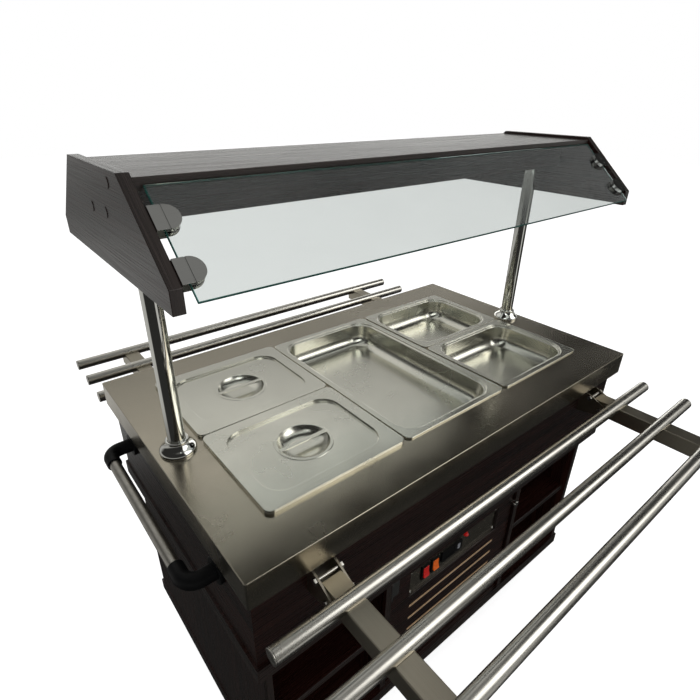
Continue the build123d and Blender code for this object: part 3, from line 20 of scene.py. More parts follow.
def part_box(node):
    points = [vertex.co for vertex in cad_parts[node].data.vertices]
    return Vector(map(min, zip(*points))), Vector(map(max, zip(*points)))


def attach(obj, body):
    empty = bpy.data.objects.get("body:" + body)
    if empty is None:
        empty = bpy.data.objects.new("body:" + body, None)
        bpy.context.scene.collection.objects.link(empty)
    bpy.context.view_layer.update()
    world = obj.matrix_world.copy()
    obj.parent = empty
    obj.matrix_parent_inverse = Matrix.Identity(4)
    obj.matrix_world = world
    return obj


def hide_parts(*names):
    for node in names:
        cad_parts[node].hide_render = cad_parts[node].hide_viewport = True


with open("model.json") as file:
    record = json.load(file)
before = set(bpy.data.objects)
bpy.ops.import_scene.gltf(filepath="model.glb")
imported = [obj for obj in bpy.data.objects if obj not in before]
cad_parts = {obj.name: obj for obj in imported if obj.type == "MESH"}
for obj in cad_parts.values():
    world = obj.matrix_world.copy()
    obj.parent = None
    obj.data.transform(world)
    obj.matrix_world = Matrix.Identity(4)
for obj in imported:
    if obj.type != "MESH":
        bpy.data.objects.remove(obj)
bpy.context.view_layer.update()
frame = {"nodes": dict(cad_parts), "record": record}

Triple = tuple[float, float, float]
Spread = tuple[float, float]

LOG = logging.getLogger("counter")
COUNTER_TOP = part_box("counter_top")[1].z
NODE_BODY: dict[str, str] = {
    node: body for body, nodes in frame["record"]["behaviour"]["bodies"].items() for node in nodes
}
NODE_SLOT: dict[str, str] = {
    part["node"]: part["material_slot"] for part in frame["record"]["subparts"]
}
SIDES = (-1.0, 1.0)
ALONG = Vector((1.0, 0.0, 0.0))
WHITE: Triple = (1.0, 1.0, 1.0)
BLACK: Triple = (0.0, 0.0, 0.0)

# Points closer than this are one point, and faces that turn by fewer degrees lie in one plane
SAME_POINT = 0.000002
ONE_PLANE = 0.6

# Places of the colours among the sockets of a Mix node
MIX_UNDER, MIX_OVER, MIX_RESULT = 6, 7, 2


class Grain(Enum):
    """The axis, or the two axes, that a striped pattern runs along."""

    X = (0,)
    Y = (1,)
    Z = (2,)
    YZ = (1, 2)

    def stretch(self, along: float, across: float) -> Triple:
        """Return pattern cells to a metre on each axis, from those along and across the grain."""
        return tuple(along if axis in self.value else across for axis in range(3))


def shade(tone: Triple, share: float) -> Triple:
    """Return a colour at a share of its own level."""
    return (share * tone[0], share * tone[1], share * tone[2])


@cache
def streaks_group() -> NodeTree:
    """Make the node group that draws stretched noise, for wood grain, brush lines and smears.

    Returns:
        The group, which all finishes share.
    """
    group = bpy.data.node_groups.new("streaks", "ShaderNodeTree")
    face = group.interface
    for name in ("Vector", "Stretch"):
        face.new_socket(name, in_out="INPUT", socket_type="NodeSocketVector")
    for name in ("Detail", "Warp", "Low", "High"):
        face.new_socket(name, in_out="INPUT", socket_type="NodeSocketFloat")
    face.new_socket("Mask", in_out="OUTPUT", socket_type="NodeSocketFloat")
    nodes = group.nodes
    entry = nodes.new("NodeGroupInput")
    leave = nodes.new("NodeGroupOutput")
    scaled = nodes.new("ShaderNodeVectorMath")
    scaled.operation = "MULTIPLY"
    noise = nodes.new("ShaderNodeTexNoise")
    noise.inputs["Scale"].default_value = 1.0
    limits = nodes.new("ShaderNodeMapRange")
    links = group.links
    links.new(entry.outputs["Vector"], scaled.inputs[0])
    links.new(entry.outputs["Stretch"], scaled.inputs[1])
    links.new(scaled.outputs["Vector"], noise.inputs["Vector"])
    links.new(entry.outputs["Detail"], noise.inputs["Detail"])
    links.new(entry.outputs["Warp"], noise.inputs["Distortion"])
    links.new(noise.outputs["Fac"], limits.inputs["Value"])
    links.new(entry.outputs["Low"], limits.inputs["From Min"])
    links.new(entry.outputs["High"], limits.inputs["From Max"])
    links.new(limits.outputs["Result"], leave.inputs["Mask"])
    return group


class Sum(Enum):
    """The kinds of sum, by their nodes and results."""

    NUMBERS = ("ShaderNodeMath", "Value")
    VECTORS = ("ShaderNodeVectorMath", "Vector")
    PRODUCT = ("ShaderNodeVectorMath", "Value")


class Nodes:
    """The nodes of one tree."""

    def __init__(self, tree: NodeTree) -> None:
        """Keep the tree."""
        self.tree = tree

    def feed(self, target: Socket, value: Socket | Triple | float) -> None:
        """Link a socket, or set it.

        Args:
            target: The socket to feed.
            value: Another socket, or a plain colour, vector or number.
        """
        if isinstance(value, Socket):
            self.tree.links.new(value, target)
        else:
            target.default_value = (*value, 1.0) if target.type == "RGBA" else value

    def sum(self, kind: Sum, operation: str, first: Socket,
            second: Socket | Triple | float | None = None) -> Socket:
        """Add a sum.

        Args:
            kind: What is summed.
            operation: The name of the sum.
            first: The first number or vector.
            second: The second one, if the sum takes two.

        Returns:
            The result's socket.
        """
        name, result = kind.value
        node = self.tree.nodes.new(name)
        node.operation = operation
        self.feed(node.inputs[0], first)
        if second is not None:
            self.feed(node.inputs[1], second)
        return node.outputs[result]

    def spread(self, value: Socket, low: float, high: float, start: float = 0.0,
               end: float = 1.0, soft: bool = False) -> Socket:
        """Bring a number from one range into another.

        Args:
            value: The number.
            low: The result at the start.
            high: The result at the end.
            start: The number at the start.
            end: The number at the end.
            soft: Whether the way between is eased.

        Returns:
            The result's socket.
        """
        node = self.tree.nodes.new("ShaderNodeMapRange")
        node.interpolation_type = "SMOOTHSTEP" if soft else "LINEAR"
        self.feed(node.inputs["Value"], value)
        limits = (("From Min", start), ("From Max", end), ("To Min", low), ("To Max", high))
        for name, limit in limits:
            node.inputs[name].default_value = limit
        return node.outputs["Result"]

    def mix(self, mask: Socket, under: Socket | Triple, over: Triple) -> Socket:
        """Mix two colours.

        Args:
            mask: Where the second colour lies.
            under: The first colour.
            over: The second colour.

        Returns:
            The mixed colour's socket.
        """
        node = self.tree.nodes.new("ShaderNodeMix")
        node.data_type = "RGBA"
        self.feed(node.inputs["Factor"], mask)
        self.feed(node.inputs[MIX_UNDER], under)
        self.feed(node.inputs[MIX_OVER], over)
        return node.outputs[MIX_RESULT]

    def seen(self) -> Socket:
        """Find where the camera looks, straight or by way of metal or glass.

        Returns:
            The socket that gives 1 there.
        """
        path = self.tree.nodes.new("ShaderNodeLightPath")
        seen = path.outputs["Is Camera Ray"]
        for name in ("Is Glossy Ray", "Is Transmission Ray"):
            seen = self.sum(Sum.NUMBERS, "MAXIMUM", seen, path.outputs[name])
        return seen


class Shader(Nodes):
    """A material under construction round one Principled BSDF."""

    def __init__(self, name: str, **values: Socket | Triple | float) -> None:
        """Start a material.

        Args:
            name: The material's name.
            values: What feeds the BSDF's sockets, with underscores for spaces.
        """
        self.material = bpy.data.materials.new(name)
        self.material.use_nodes = True
        super().__init__(self.material.node_tree)
        self.place = self.tree.nodes.new("ShaderNodeTexCoord").outputs["Object"]
        self.set(**values)

    def set(self, **values: Socket | Triple | float) -> None:
        """Feed the BSDF's sockets, which are named with underscores for spaces."""
        for name, value in values.items():
            self.feed(self.tree.nodes["Principled BSDF"].inputs[name.replace("_", " ")], value)

    def streaks(self, stretch: Triple, detail: float = 4.0, warp: float = 0.0,
                low: float = 0.35, high: float = 0.65) -> Socket:
        """Place the streaks group.

        Args:
            stretch: Pattern cells to a metre on each axis.
            detail: Octaves of the noise.
            warp: Distortion of the noise.
            low: Noise value that gives 0.
            high: Noise value that gives 1.

        Returns:
            The mask's socket.
        """
        node = self.tree.nodes.new("ShaderNodeGroup")
        node.node_tree = streaks_group()
        self.feed(node.inputs["Vector"], self.place)
        node.inputs["Stretch"].default_value = stretch
        for name, value in (("Detail", detail), ("Warp", warp), ("Low", low), ("High", high)):
            node.inputs[name].default_value = value
        return node.outputs["Mask"]

    def bump(self, height: Socket, depth: float) -> None:
        """Add surface relief.

        Args:
            height: The height, from 0 to 1.
            depth: The depth in metres.
        """
        node = self.tree.nodes.new("ShaderNodeBump")
        node.inputs["Strength"].default_value = 1.0
        node.inputs["Distance"].default_value = depth
        self.feed(node.inputs["Height"], height)
        self.set(Normal=node.outputs["Normal"])


@dataclass(frozen=True)
class Laminate:
    """Dark wood-grain laminate on board, with broad bands and fine pores along its grain."""

    name: str
    grain: Grain
    dark: Triple = (0.0024, 0.0007, 0.0004)
    light: Triple = (0.0135, 0.0036, 0.0022)
    sheen: Triple = (0.026, 0.0082, 0.0056)
    band_cells: Spread = (1.6, 46.0)
    pore_cells: Spread = (7.0, 620.0)
    pore_share: float = 0.45
    pore_depth: float = 0.000035
    roughness: Spread = (0.27, 0.38)

    def make(self) -> Material:
        """Make the material.

        Returns:
            The material.
        """
        shader = Shader(self.name, IOR=1.5, Specular_IOR_Level=0.5)
        bands = shader.streaks(self.grain.stretch(*self.band_cells), detail=6.0, warp=0.6,
                               low=0.30, high=0.72)
        pores = shader.streaks(self.grain.stretch(*self.pore_cells), detail=3.0,
                               low=0.46, high=0.70)
        colour = shader.mix(bands, self.dark, self.light)
        colour = shader.mix(shader.spread(pores, 0.0, self.pore_share), colour, self.sheen)
        shader.set(Base_Color=colour, Roughness=shader.spread(pores, *self.roughness))
        shader.bump(pores, self.pore_depth)
        return shader.material


@dataclass(frozen=True)
class Steel:
    """Stainless steel or brass, sheet or tube, with its brush lines and faint smears."""

    name: str
    grain: Grain
    tone: Triple
    roughness: Spread
    contrast: float = 0.10
    line_cells: float = 1100.0
    smear_cells: float = 7.0
    cells_along: float = 4.0
    smear_tone: float = 0.88
    smear_share: float = 0.7

    def make(self) -> Material:
        """Make the material.

        Returns:
            The material.
        """
        shader = Shader(self.name, Metallic=1.0)
        lines = shader.streaks(self.grain.stretch(self.cells_along, self.line_cells), detail=2.0,
                               low=0.30, high=0.70)
        smears = shader.streaks((self.smear_cells,) * 3, detail=5.0, warp=0.4)
        colour = shader.mix(lines, shade(self.tone, 1.0 - self.contrast), self.tone)
        colour = shader.mix(shader.spread(smears, 0.0, self.smear_share), colour,
                            shade(self.tone, self.smear_tone))
        shader.set(Base_Color=colour, Roughness=shader.spread(smears, *self.roughness))
        return shader.material


@dataclass(frozen=True)
class Moulding:
    """Moulded plastic or rubber, or plated metal, with a fine grain."""

    name: str
    tone: Triple
    roughness: Spread = (0.38, 0.5)
    grain_depth: float = 0.00002
    metallic: float = 0.0
    gloss: float = 0.5
    speck_cells: float = 900.0
    cloud_cells: float = 22.0
    cloud_tone: float = 0.8

    def make(self) -> Material:
        """Make the material.

        Returns:
            The material.
        """
        shader = Shader(self.name, Metallic=self.metallic, Specular_IOR_Level=self.gloss)
        specks = shader.streaks((self.speck_cells,) * 3, detail=2.0)
        clouds = shader.streaks((self.cloud_cells,) * 3)
        colour = shader.mix(clouds, shade(self.tone, self.cloud_tone), self.tone)
        shader.set(Base_Color=colour, Roughness=shader.spread(clouds, *self.roughness))
        shader.bump(specks, self.grain_depth)
        return shader.material


@dataclass(frozen=True)
class Lens:
    """A lit, tinted plastic lens with fine ribs."""

    name: str
    tone: Triple
    glow: float = 0.12
    rib_cells: Triple = (420.0, 420.0, 160.0)
    rib_tone: float = 0.7
    rib_depth: float = 0.00003

    def make(self) -> Material:
        """Make the material.

        Returns:
            The material.
        """
        shader = Shader(self.name, Roughness=0.22, Emission_Strength=self.glow, Coat_Weight=0.6)
        ribs = shader.streaks(self.rib_cells, detail=2.0)
        colour = shader.mix(ribs, shade(self.tone, self.rib_tone), self.tone)
        shader.set(Base_Color=colour, Emission_Color=colour)
        shader.bump(ribs, self.rib_depth)
        return shader.material


@dataclass(frozen=True)
class Fibre:
    """Raw board or wool, rough and matt."""

    name: str
    dark: Triple
    light: Triple
    cells: Triple
    depth: float

    def make(self) -> Material:
        """Make the material.

        Returns:
            The material.
        """
        shader = Shader(self.name, Roughness=0.85)
        chips = shader.streaks(self.cells, detail=6.0, warp=0.8, low=0.25, high=0.75)
        shader.set(Base_Color=shader.mix(chips, self.dark, self.light))
        shader.bump(chips, self.depth)
        return shader.material


@dataclass(frozen=True)
class Glass:
    """Clear toughened glass, or its ground edge, with a faint film."""

    name: str
    tone: Triple
    transmission: float
    roughness: float
    film_cells: float = 6.0
    film_tone: float = 0.97
    film_blur: float = 0.02

    def make(self) -> Material:
        """Make the material.

        Returns:
            The material.
        """
        shader = Shader(self.name, IOR=1.5, Transmission_Weight=self.transmission)
        film = shader.streaks((self.film_cells,) * 3, detail=5.0)
        colour = shader.mix(film, shade(self.tone, self.film_tone), self.tone)
        blur = shader.spread(film, self.roughness, self.roughness + self.film_blur)
        shader.set(Base_Color=colour, Roughness=blur)
        return shader.material


Finish = Laminate | Steel | Moulding | Lens | Fibre | Glass

# Finishes of boards and of their edges, in the order of the grains
LAMINATES = ("laminate", "laminate_y", "laminate_z")
BANDS = ("edge_band", "edge_band_y", "edge_band_z", "edge_band_yz")

COUNTER_STEEL: Triple = (0.47, 0.428, 0.345)
BAND_TONES: tuple[Triple, ...] = (
    (0.005, 0.0032, 0.0027), (0.017, 0.0115, 0.0096), (0.030, 0.021, 0.018),
)
FINISHES: dict[str, Finish] = {finish.name: finish for finish in (
    *(Laminate(name, grain) for name, grain in zip(LAMINATES, Grain)),
    *(Laminate(name, grain, *BAND_TONES) for name, grain in zip(BANDS, Grain)),
    Fibre("core_board", (0.36, 0.24, 0.13), (0.62, 0.46, 0.29), (120.0, 120.0, 260.0), 0.0002),
    Steel("counter_steel", Grain.X, COUNTER_STEEL, (0.20, 0.28)),
    Steel("tank_steel", Grain.X, COUNTER_STEEL, (0.3, 0.4)),
    Steel("pan_steel", Grain.X, (0.72, 0.71, 0.63), (0.22, 0.28), 0.04),
    Steel("polished_steel", Grain.X, (0.60, 0.582, 0.535), (0.25, 0.30), 0.04, 260.0),
    Steel("post_steel", Grain.Z, (0.72, 0.715, 0.675), (0.05, 0.08), 0.02),
    Steel("satin_steel", Grain.Y, COUNTER_STEEL, (0.3, 0.38)),
    Steel("grip_steel", Grain.Y, (0.44, 0.42, 0.38), (0.34, 0.46), 0.12, 900.0, 60.0),
    Steel("clamp_chrome", Grain.X, (0.52, 0.52, 0.505), (0.06, 0.12), 0.05),
    Steel("brass", Grain.Z, (0.62, 0.43, 0.17), (0.22, 0.32)),
    Fibre("wool", (0.42, 0.33, 0.14), (0.72, 0.62, 0.36), (300.0, 300.0, 90.0), 0.002),
    Glass("glass", (0.615, 0.645, 0.63), 1.0, 0.0),
    Glass("glass_edge", (0.03, 0.15, 0.125), 0.55, 0.06),
    Lens("red_lens", (0.48, 0.008, 0.006)),
    Lens("amber_lens", (0.68, 0.11, 0.006)),
    Moulding("heater_sheath", (0.16, 0.15, 0.14), (0.4, 0.55), 0.00001, 0.8),
    Moulding("lever_red", (0.42, 0.03, 0.025), (0.3, 0.42)),
    Moulding("black_plastic", (0.003, 0.003, 0.0032), (0.42, 0.55), gloss=0.16),
    Moulding("key_grey", (0.22, 0.23, 0.25)),
    Moulding("zinc", (0.55, 0.56, 0.57), (0.28, 0.4), 0.000005, 1.0),
    Moulding("wheel_rubber", (0.035, 0.035, 0.036), (0.5, 0.65), 0.00004),
    Moulding("wheel_hub", (0.22, 0.225, 0.23), (0.4, 0.5), 0.00003),
)}


@cache
def material_of(finish: str) -> Material:
    """Return the material of a finish, which is made when it is first asked for."""
    return FINISHES[finish].make()


def dress_nodes() -> None:
    """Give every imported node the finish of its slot."""
    for name, node in frame["nodes"].items():
        node.data.materials.clear()
        node.data.materials.append(material_of(NODE_SLOT[name]))


@dataclass(frozen=True)
class PhotoCamera:
    """The camera that took the photograph, measured from the middle of the counter top."""

    lens: float = 25.565
    sensor: float = 36.0
    near: float = 0.02
    place: Triple = (-0.7788, -0.8190, 0.6325)
    turn: Triple = (62.6275, -0.7650, -39.0954)

    def build(self) -> None:
        """Add the camera and make it the scene's own."""
        data = bpy.data.cameras.new("photo_camera")
        data.lens = self.lens
        data.sensor_width = self.sensor
        data.sensor_fit = "HORIZONTAL"
        data.clip_start = self.near
        camera = bpy.data.objects.new("photo_camera", data)
        camera.location = Vector(self.place) + Vector((0.0, 0.0, COUNTER_TOP))
        camera.rotation_euler = [radians(angle) for angle in self.turn]
        bpy.context.scene.collection.objects.link(camera)
        bpy.context.scene.camera = camera


def piece_from(mesh: BMesh, name: str, finishes: tuple[str, ...] = (),
               smooth: float = 0.0) -> Object:
    """Turn a bmesh into an object in the scene.

    Args:
        mesh: The finished bmesh, which is freed.
        name: The object's name.
        finishes: The finishes of its faces, in the order of their material numbers.
        smooth: Degrees below which an edge is shaded smooth, 0 for flat faces.

    Returns:
        The object.
    """
    data = bpy.data.meshes.new(name)
    mesh.to_mesh(data)
    mesh.free()
    piece = bpy.data.objects.new(name, data)
    bpy.context.scene.collection.objects.link(piece)
    if smooth > 0:
        data.shade_smooth()
        data.set_sharp_from_angle(angle=radians(smooth))
    for finish in finishes:
        data.materials.append(material_of(finish))
    return piece


def node_copy(node: str, join_flats: bool = True) -> BMesh:
    """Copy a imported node's mesh.

    Args:
        node: The node.
        join_flats: Whether the triangles of each flat are joined.

    Returns:
        The copy.
    """
    mesh = bmesh.new()
    mesh.from_mesh(frame["nodes"][node].data)
    bmesh.ops.remove_doubles(mesh, verts=mesh.verts, dist=SAME_POINT)
    if join_flats:
        bmesh.ops.dissolve_limit(mesh, angle_limit=radians(ONE_PLANE), verts=mesh.verts,
                                 edges=mesh.edges)
    return mesh


def corners_of(verts: Iterable[BMVert], turn: Matrix | None = None) -> tuple[Vector, Vector]:
    """Find the lowest and the highest corner of the box round some points.

    Args:
        verts: The points.
        turn: A turn that they are given first, if any.

    Returns:
        The two corners.
    """
    places = [vert.co if turn is None else turn @ vert.co for vert in verts]
    by_axis = list(zip(*places))
    return Vector([min(values) for values in by_axis]), Vector([max(values) for values in by_axis])


def round_off(mesh: BMesh, geom: list, width: float, segments: int, affect: str = "EDGES",
              material: int = -1) -> None:
    """Round edges or corners of a mesh.

    Args:
        mesh: The mesh to change.
        geom: The edges, or the points of the corners.
        width: Width of the rounding.
        segments: Steps across it.
        affect: EDGES or VERTICES.
        material: Material number of the new faces, -1 for that of their neighbours.
    """
    bmesh.ops.bevel(mesh, geom=geom, offset=width, offset_type="OFFSET", affect=affect,
                    segments=segments, profile=0.5, material=material, clamp_overlap=True)


def ease_edges(mesh: BMesh, width: float, longer: float, segments: int = 2,
               turn: float = 40.0) -> None:
    """Round the outer edges of a mesh.

    Args:
        mesh: The mesh to change.
        width: Width of the rounding.
        longer: Only edges longer than this are rounded.
        segments: Steps across the rounding.
        turn: Only edges that turn by more than this many degrees are rounded.
    """
    edges = [edge for edge in mesh.edges if edge.is_manifold and edge.is_convex
             and edge.calc_length() > longer and edge.calc_face_angle() > radians(turn)]
    round_off(mesh, edges, width, segments)


def stand_for(piece: Object, node: str) -> None:
    """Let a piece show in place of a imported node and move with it.

    Args:
        piece: The piece.
        node: The node.
    """
    if piece.data.polygons[0].use_smooth:
        piece.modifiers.new("even_normals", "WEIGHTED_NORMAL").keep_sharp = True
    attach(piece, NODE_BODY[node])
    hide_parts(node)
    LOG.info("%s stands for %s", piece.name, node)


def add_to(piece: Object, body: str) -> None:
    """Let a new piece move with a body.

    Args:
        piece: The piece.
        body: The body.
    """
    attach(piece, body)
    LOG.info("%s rides on %s", piece.name, body)


@dataclass(frozen=True)
class Board:
    """One board node: the axis through it, if it has one, and the grain of its faces and edges."""

    node: str
    through: int | None
    grain: Grain | None
    band: Grain | None = None
    cut_through: bool = False


@dataclass(frozen=True)
class BoardWork:
    """Laminate boards with eased arrises, banded edges, and raw board in cut-through slots."""

    arris: float = 0.0010
    shortest: float = 0.012
    smooth: float = 30.0
    narrow: float = 0.040
    plate_gap: float = 0.006
    finishes: tuple[str, ...] = (*LAMINATES, *BANDS, "core_board")
    boards: tuple[Board, ...] = (
        Board("base_board", 2, Grain.X),
        Board("cabinet_uprights", 0, Grain.Z),
        Board("cabinet_back", 1, Grain.X),
        Board("bay_shelves", 2, Grain.X),
        Board("mid_board", 2, Grain.X),
        Board("upper_panels", None, None),
        Board("canopy_ends", 0, Grain.Y, Grain.YZ),
        Board("canopy_shelf", None, Grain.X),
        Board("service_door", 1, Grain.X, cut_through=True),
    )

    def build(self) -> None:
        """Make every board."""
        for board in self.boards:
            mesh = node_copy(board.node)
            for face in mesh.faces:
                face.material_index = self.finishes.index(self._finish(board, face))
            ease_edges(mesh, self.arris, self.shortest)
            piece = piece_from(mesh, f"{board.node}_boards", self.finishes, self.smooth)
            stand_for(piece, board.node)

    def _finish(self, board: Board, face: BMFace) -> str:
        """Choose a face's finish.

        Args:
            board: The board that the face is on.
            face: The face.

        Returns:
            The finish's name.
        """
        low, high = corners_of(face.verts)
        spans = high - low
        across = max(range(3), key=lambda axis: abs(face.normal[axis]))
        sides = [axis for axis in range(3) if axis != across]
        run = max(sides, key=lambda axis: spans[axis])
        width = min(spans[axis] for axis in sides)
        if across == board.through or (board.through is None and width > self.narrow):
            return LAMINATES[run if board.grain is None else board.grain.value[0]]
        if board.cut_through:
            place = face.calc_center_median()
            low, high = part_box(board.node)
            slots_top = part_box("control_plate")[0].z - self.plate_gap
            between = low.x + self.narrow < place.x < high.x - self.narrow
            if between and low.z + self.narrow < place.z < slots_top:
                return "core_board"
        return "edge_band_yz" if board.band is Grain.YZ else BANDS[run]


@dataclass(frozen=True)
class GuardGlass:
    """Toughened panes with ground, green-tinted edges."""

    arris: float = 0.0006
    broad_faces: int = 4

    def build(self) -> None:
        """Make the panes, square-cornered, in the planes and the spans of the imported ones."""
        packed = node_copy("guard_glass")
        mesh = bmesh.new()
        for side in SIDES:
            faces = [face for face in packed.faces if side * face.calc_center_median().y > 0]
            out = max(faces, key=lambda face: face.calc_area()).normal
            turn = Matrix((ALONG, out.cross(ALONG), out)).transposed()
            verts = {vert for face in faces for vert in face.verts}
            low, high = corners_of(verts, turn.transposed())
            size = Matrix.Diagonal((*(high - low), 1.0))
            place = Matrix.Translation((low + high) / 2) @ size
            bmesh.ops.create_cube(mesh, size=1.0, matrix=turn.to_4x4() @ place)
        packed.free()
        panes = sorted(mesh.faces, key=lambda face: face.calc_area())[-self.broad_faces:]
        for face in mesh.faces:
            face.material_index = 0 if face in panes else 1
        round_off(mesh, mesh.edges[:], self.arris, segments=1, material=1)
        piece = piece_from(mesh, "guard_panes", ("glass", "glass_edge"))
        piece.visible_shadow = False
        stand_for(piece, "guard_glass")


@dataclass(frozen=True)
class Clamps:
    """Cast glass clamps with rounded edges and a groove beside the mounting block."""

    round_edge: float = 0.0016
    shortest: float = 0.006
    segments: int = 3
    smooth: float = 35.0
    groove_in: float = 0.0165
    groove_half: float = 0.0009
    groove_depth: float = 0.0008
    cut_near: float = 0.00001
    line_near: float = 0.00005
    upward: float = 0.6

    def build(self) -> None:
        """Make the clamps."""
        mesh = node_copy("glass_clamps")
        ease_edges(mesh, self.round_edge, self.shortest, self.segments)
        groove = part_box("glass_clamps")[1].x - self.groove_in
        for side in SIDES:
            for shift in (-self.groove_half, 0.0, self.groove_half):
                bmesh.ops.bisect_plane(mesh, geom=[*mesh.verts, *mesh.edges, *mesh.faces],
                                       dist=self.cut_near, plane_no=ALONG,
                                       plane_co=(side * (groove + shift), 0.0, 0.0))
        mesh.normal_update()
        for vert in mesh.verts:
            on_line = abs(abs(vert.co.x) - groove) < self.line_near
            if on_line and vert.normal.z > self.upward:
                vert.co -= vert.normal * self.groove_depth
        piece = piece_from(mesh, "guard_clamps", ("clamp_chrome",), self.smooth)
        stand_for(piece, "glass_clamps")


@dataclass(frozen=True)
class SlideArms:
    """Square arms of the tray slides with the rounded edges of drawn tube."""

    round_edge: float = 0.0025
    shortest: float = 0.06
    segments: int = 4
    smooth: float = 30.0

    def build(self) -> None:
        """Make both pairs of arms."""
        for node in ("front_slide_arms", "rear_slide_arms"):
            mesh = node_copy(node)
            ease_edges(mesh, self.round_edge, self.shortest, self.segments)
            piece = piece_from(mesh, f"{node}_drawn", ("satin_steel",), self.smooth)
            stand_for(piece, node)


@dataclass(frozen=True)
class Turned:
    """Nodes that are shown smooth: their eased edges, and their finish if not their slot's own."""

    nodes: tuple[str, ...]
    ease: float = 0.0
    finish: str | None = None


@dataclass(frozen=True)
class TurnedWork:
    """Tubes, posts, folded steel and mouldings, with smooth curves and eased edges."""

    shortest: float = 0.0008
    smooth: float = 34.0
    works: tuple[Turned, ...] = (
        Turned(("posts",), finish="post_steel"),
        Turned(("front_slide_tubes", "rear_slide_tubes"), 0.0007),
        Turned(("slide_brackets", "slide_bolts"), 0.0006),
        Turned(("handle_grips",), finish="grip_steel"),
        Turned(("handle_elbows",), 0.0015),
        Turned(("counter_top",)),
        Turned(("door_knob",), 0.0003, "post_steel"),
        Turned(("control_plate",), 0.0003),
        Turned(("rocker_bezels", "rocker_red", "rocker_amber"), 0.0008),
        Turned(("thermostat",), 0.0006),
        Turned(("thermostat_key_up", "thermostat_key_down"), 0.0004),
        Turned(("pilot_lamp",)),
        Turned(("hinge_leaves_fixed", "hinge_leaves_door", "cable_gland"), 0.0004),
        Turned(("castor_plates",), 0.0005),
        Turned(("castor_fork_front_left", "castor_fork_front_right", "castor_fork_rear_left",
                "castor_fork_rear_right"), 0.0006),
        Turned(("brake_pedal_front_left", "brake_pedal_front_right"), 0.0008),
    )

    def build(self) -> None:
        """Make every piece."""
        for work in self.works:
            for node in work.nodes:
                mesh = node_copy(node)
                if work.ease > 0:
                    ease_edges(mesh, work.ease, self.shortest)
                finish = work.finish or NODE_SLOT[node]
                stand_for(piece_from(mesh, f"{node}_smooth", (finish,), self.smooth), node)


@dataclass(frozen=True)
class Bend:
    """A bend of a pressed section: the straight run before it, the heading after it in degrees,
    0 for inwards and 90 for up, its radius and the rings in it."""

    run: float
    heading: float
    radius: float
    rings: int


class Press:
    """A shell that is drawn inwards ring by ring from a rounded outline."""

    # Steps round a corner, the least inset of a ring, and the ring that keeps a flat flat
    corner_steps = 14
    least = 0.00001
    hold = 0.0004

    def __init__(self, low: Vector, high: Vector, height: float, radius: float) -> None:
        """Lay the outline.

        Args:
            low: The lowest corner of the box round the shell.
            high: The highest corner of that box.
            height: The height of the outline.
            radius: The radius of its corners.
        """
        self.mesh = bmesh.new()
        self.middle = (low + high) / 2
        self.half = (high - low) / 2
        self.radius = radius
        self.heading = 90.0
        corners = ((low.x, low.y), (high.x, low.y), (high.x, high.y), (low.x, high.y))
        verts = [self.mesh.verts.new((x, y, height)) for x, y in corners]
        self.mesh.faces.new(verts)
        round_off(self.mesh, verts, radius, self.corner_steps, "VERTICES")
        self.face = self._inner()

    def _inner(self) -> BMFace:
        """Return the face that the next ring is drawn from, which has the most corners."""
        return max(self.mesh.faces, key=lambda face: len(face.verts))

    @property
    def height(self) -> float:
        """Return the present height."""
        return self.face.calc_center_median().z

    def _ring(self, inward: float, rise: float) -> None:
        """Draw one ring.

        Args:
            inward: How far it goes inwards.
            rise: How far it goes up.
        """
        inward = max(inward, self.least)
        bmesh.ops.inset_region(self.mesh, faces=[self.face], thickness=inward, use_boundary=True,
                               use_even_offset=True)
        bmesh.ops.translate(self.mesh, vec=(0.0, 0.0, rise), verts=self.face.verts)
        self.half = self.half - Vector((inward, inward, 0.0))
        self.radius -= inward

    def straight(self, length: float) -> None:
        """Draw on in the present heading, with a short ring at each end.

        Args:
            length: How far.
        """
        short = min(self.hold, length / 3)
        heading = radians(self.heading)
        for run in (short, length - 2 * short, short):
            self._ring(run * cos(heading), run * sin(heading))

    def follow(self, *bends: Bend) -> None:
        """Draw bends one after another.

        Args:
            bends: The bends, each with the straight run before it.
        """
        for bend in bends:
            if bend.run > 0:
                self.straight(bend.run)
            part = (bend.heading - self.heading) / bend.rings
            chord = 2 * bend.radius * sin(radians(abs(part) / 2))
            for index in range(bend.rings):
                heading = radians(self.heading + (index + 0.5) * part)
                self._ring(chord * cos(heading), chord * sin(heading))
            self.heading = bend.heading

    def flat_to(self, half_x: float, half_y: float, radius: float) -> None:
        """Draw a flat ring to a smaller outline with other corners, or to a circle.

        Args:
            half_x: Half of the new outline's span along X.
            half_y: Half of its span along Y.
            radius: The radius of its corners.
        """
        self._ring(self.hold, 0.0)
        self._ring(0.0, 0.0)
        corner_turn = pi / 2 / self.corner_steps
        old = Vector((self.half.x - self.radius, self.half.y - self.radius))
        new = Vector((half_x - radius, half_y - radius))
        for vert in self.face.verts:
            place = (vert.co - self.middle).xy
            side = Vector([copysign(1.0, value) for value in place])
            out = place * side - old
            angle = atan2(max(out.y, 0.0), max(out.x, 0.0))
            angle = corner_turn * round(angle / corner_turn)
            place = self.middle.xy + side * (new + radius * Vector((cos(angle), sin(angle))))
            vert.co = (*place, vert.co.z)
        bmesh.ops.remove_doubles(self.mesh, verts=self.face.verts, dist=self.least)
        self.face = self._inner()
        self.half = Vector((half_x, half_y, 0.0))
        self.radius = radius


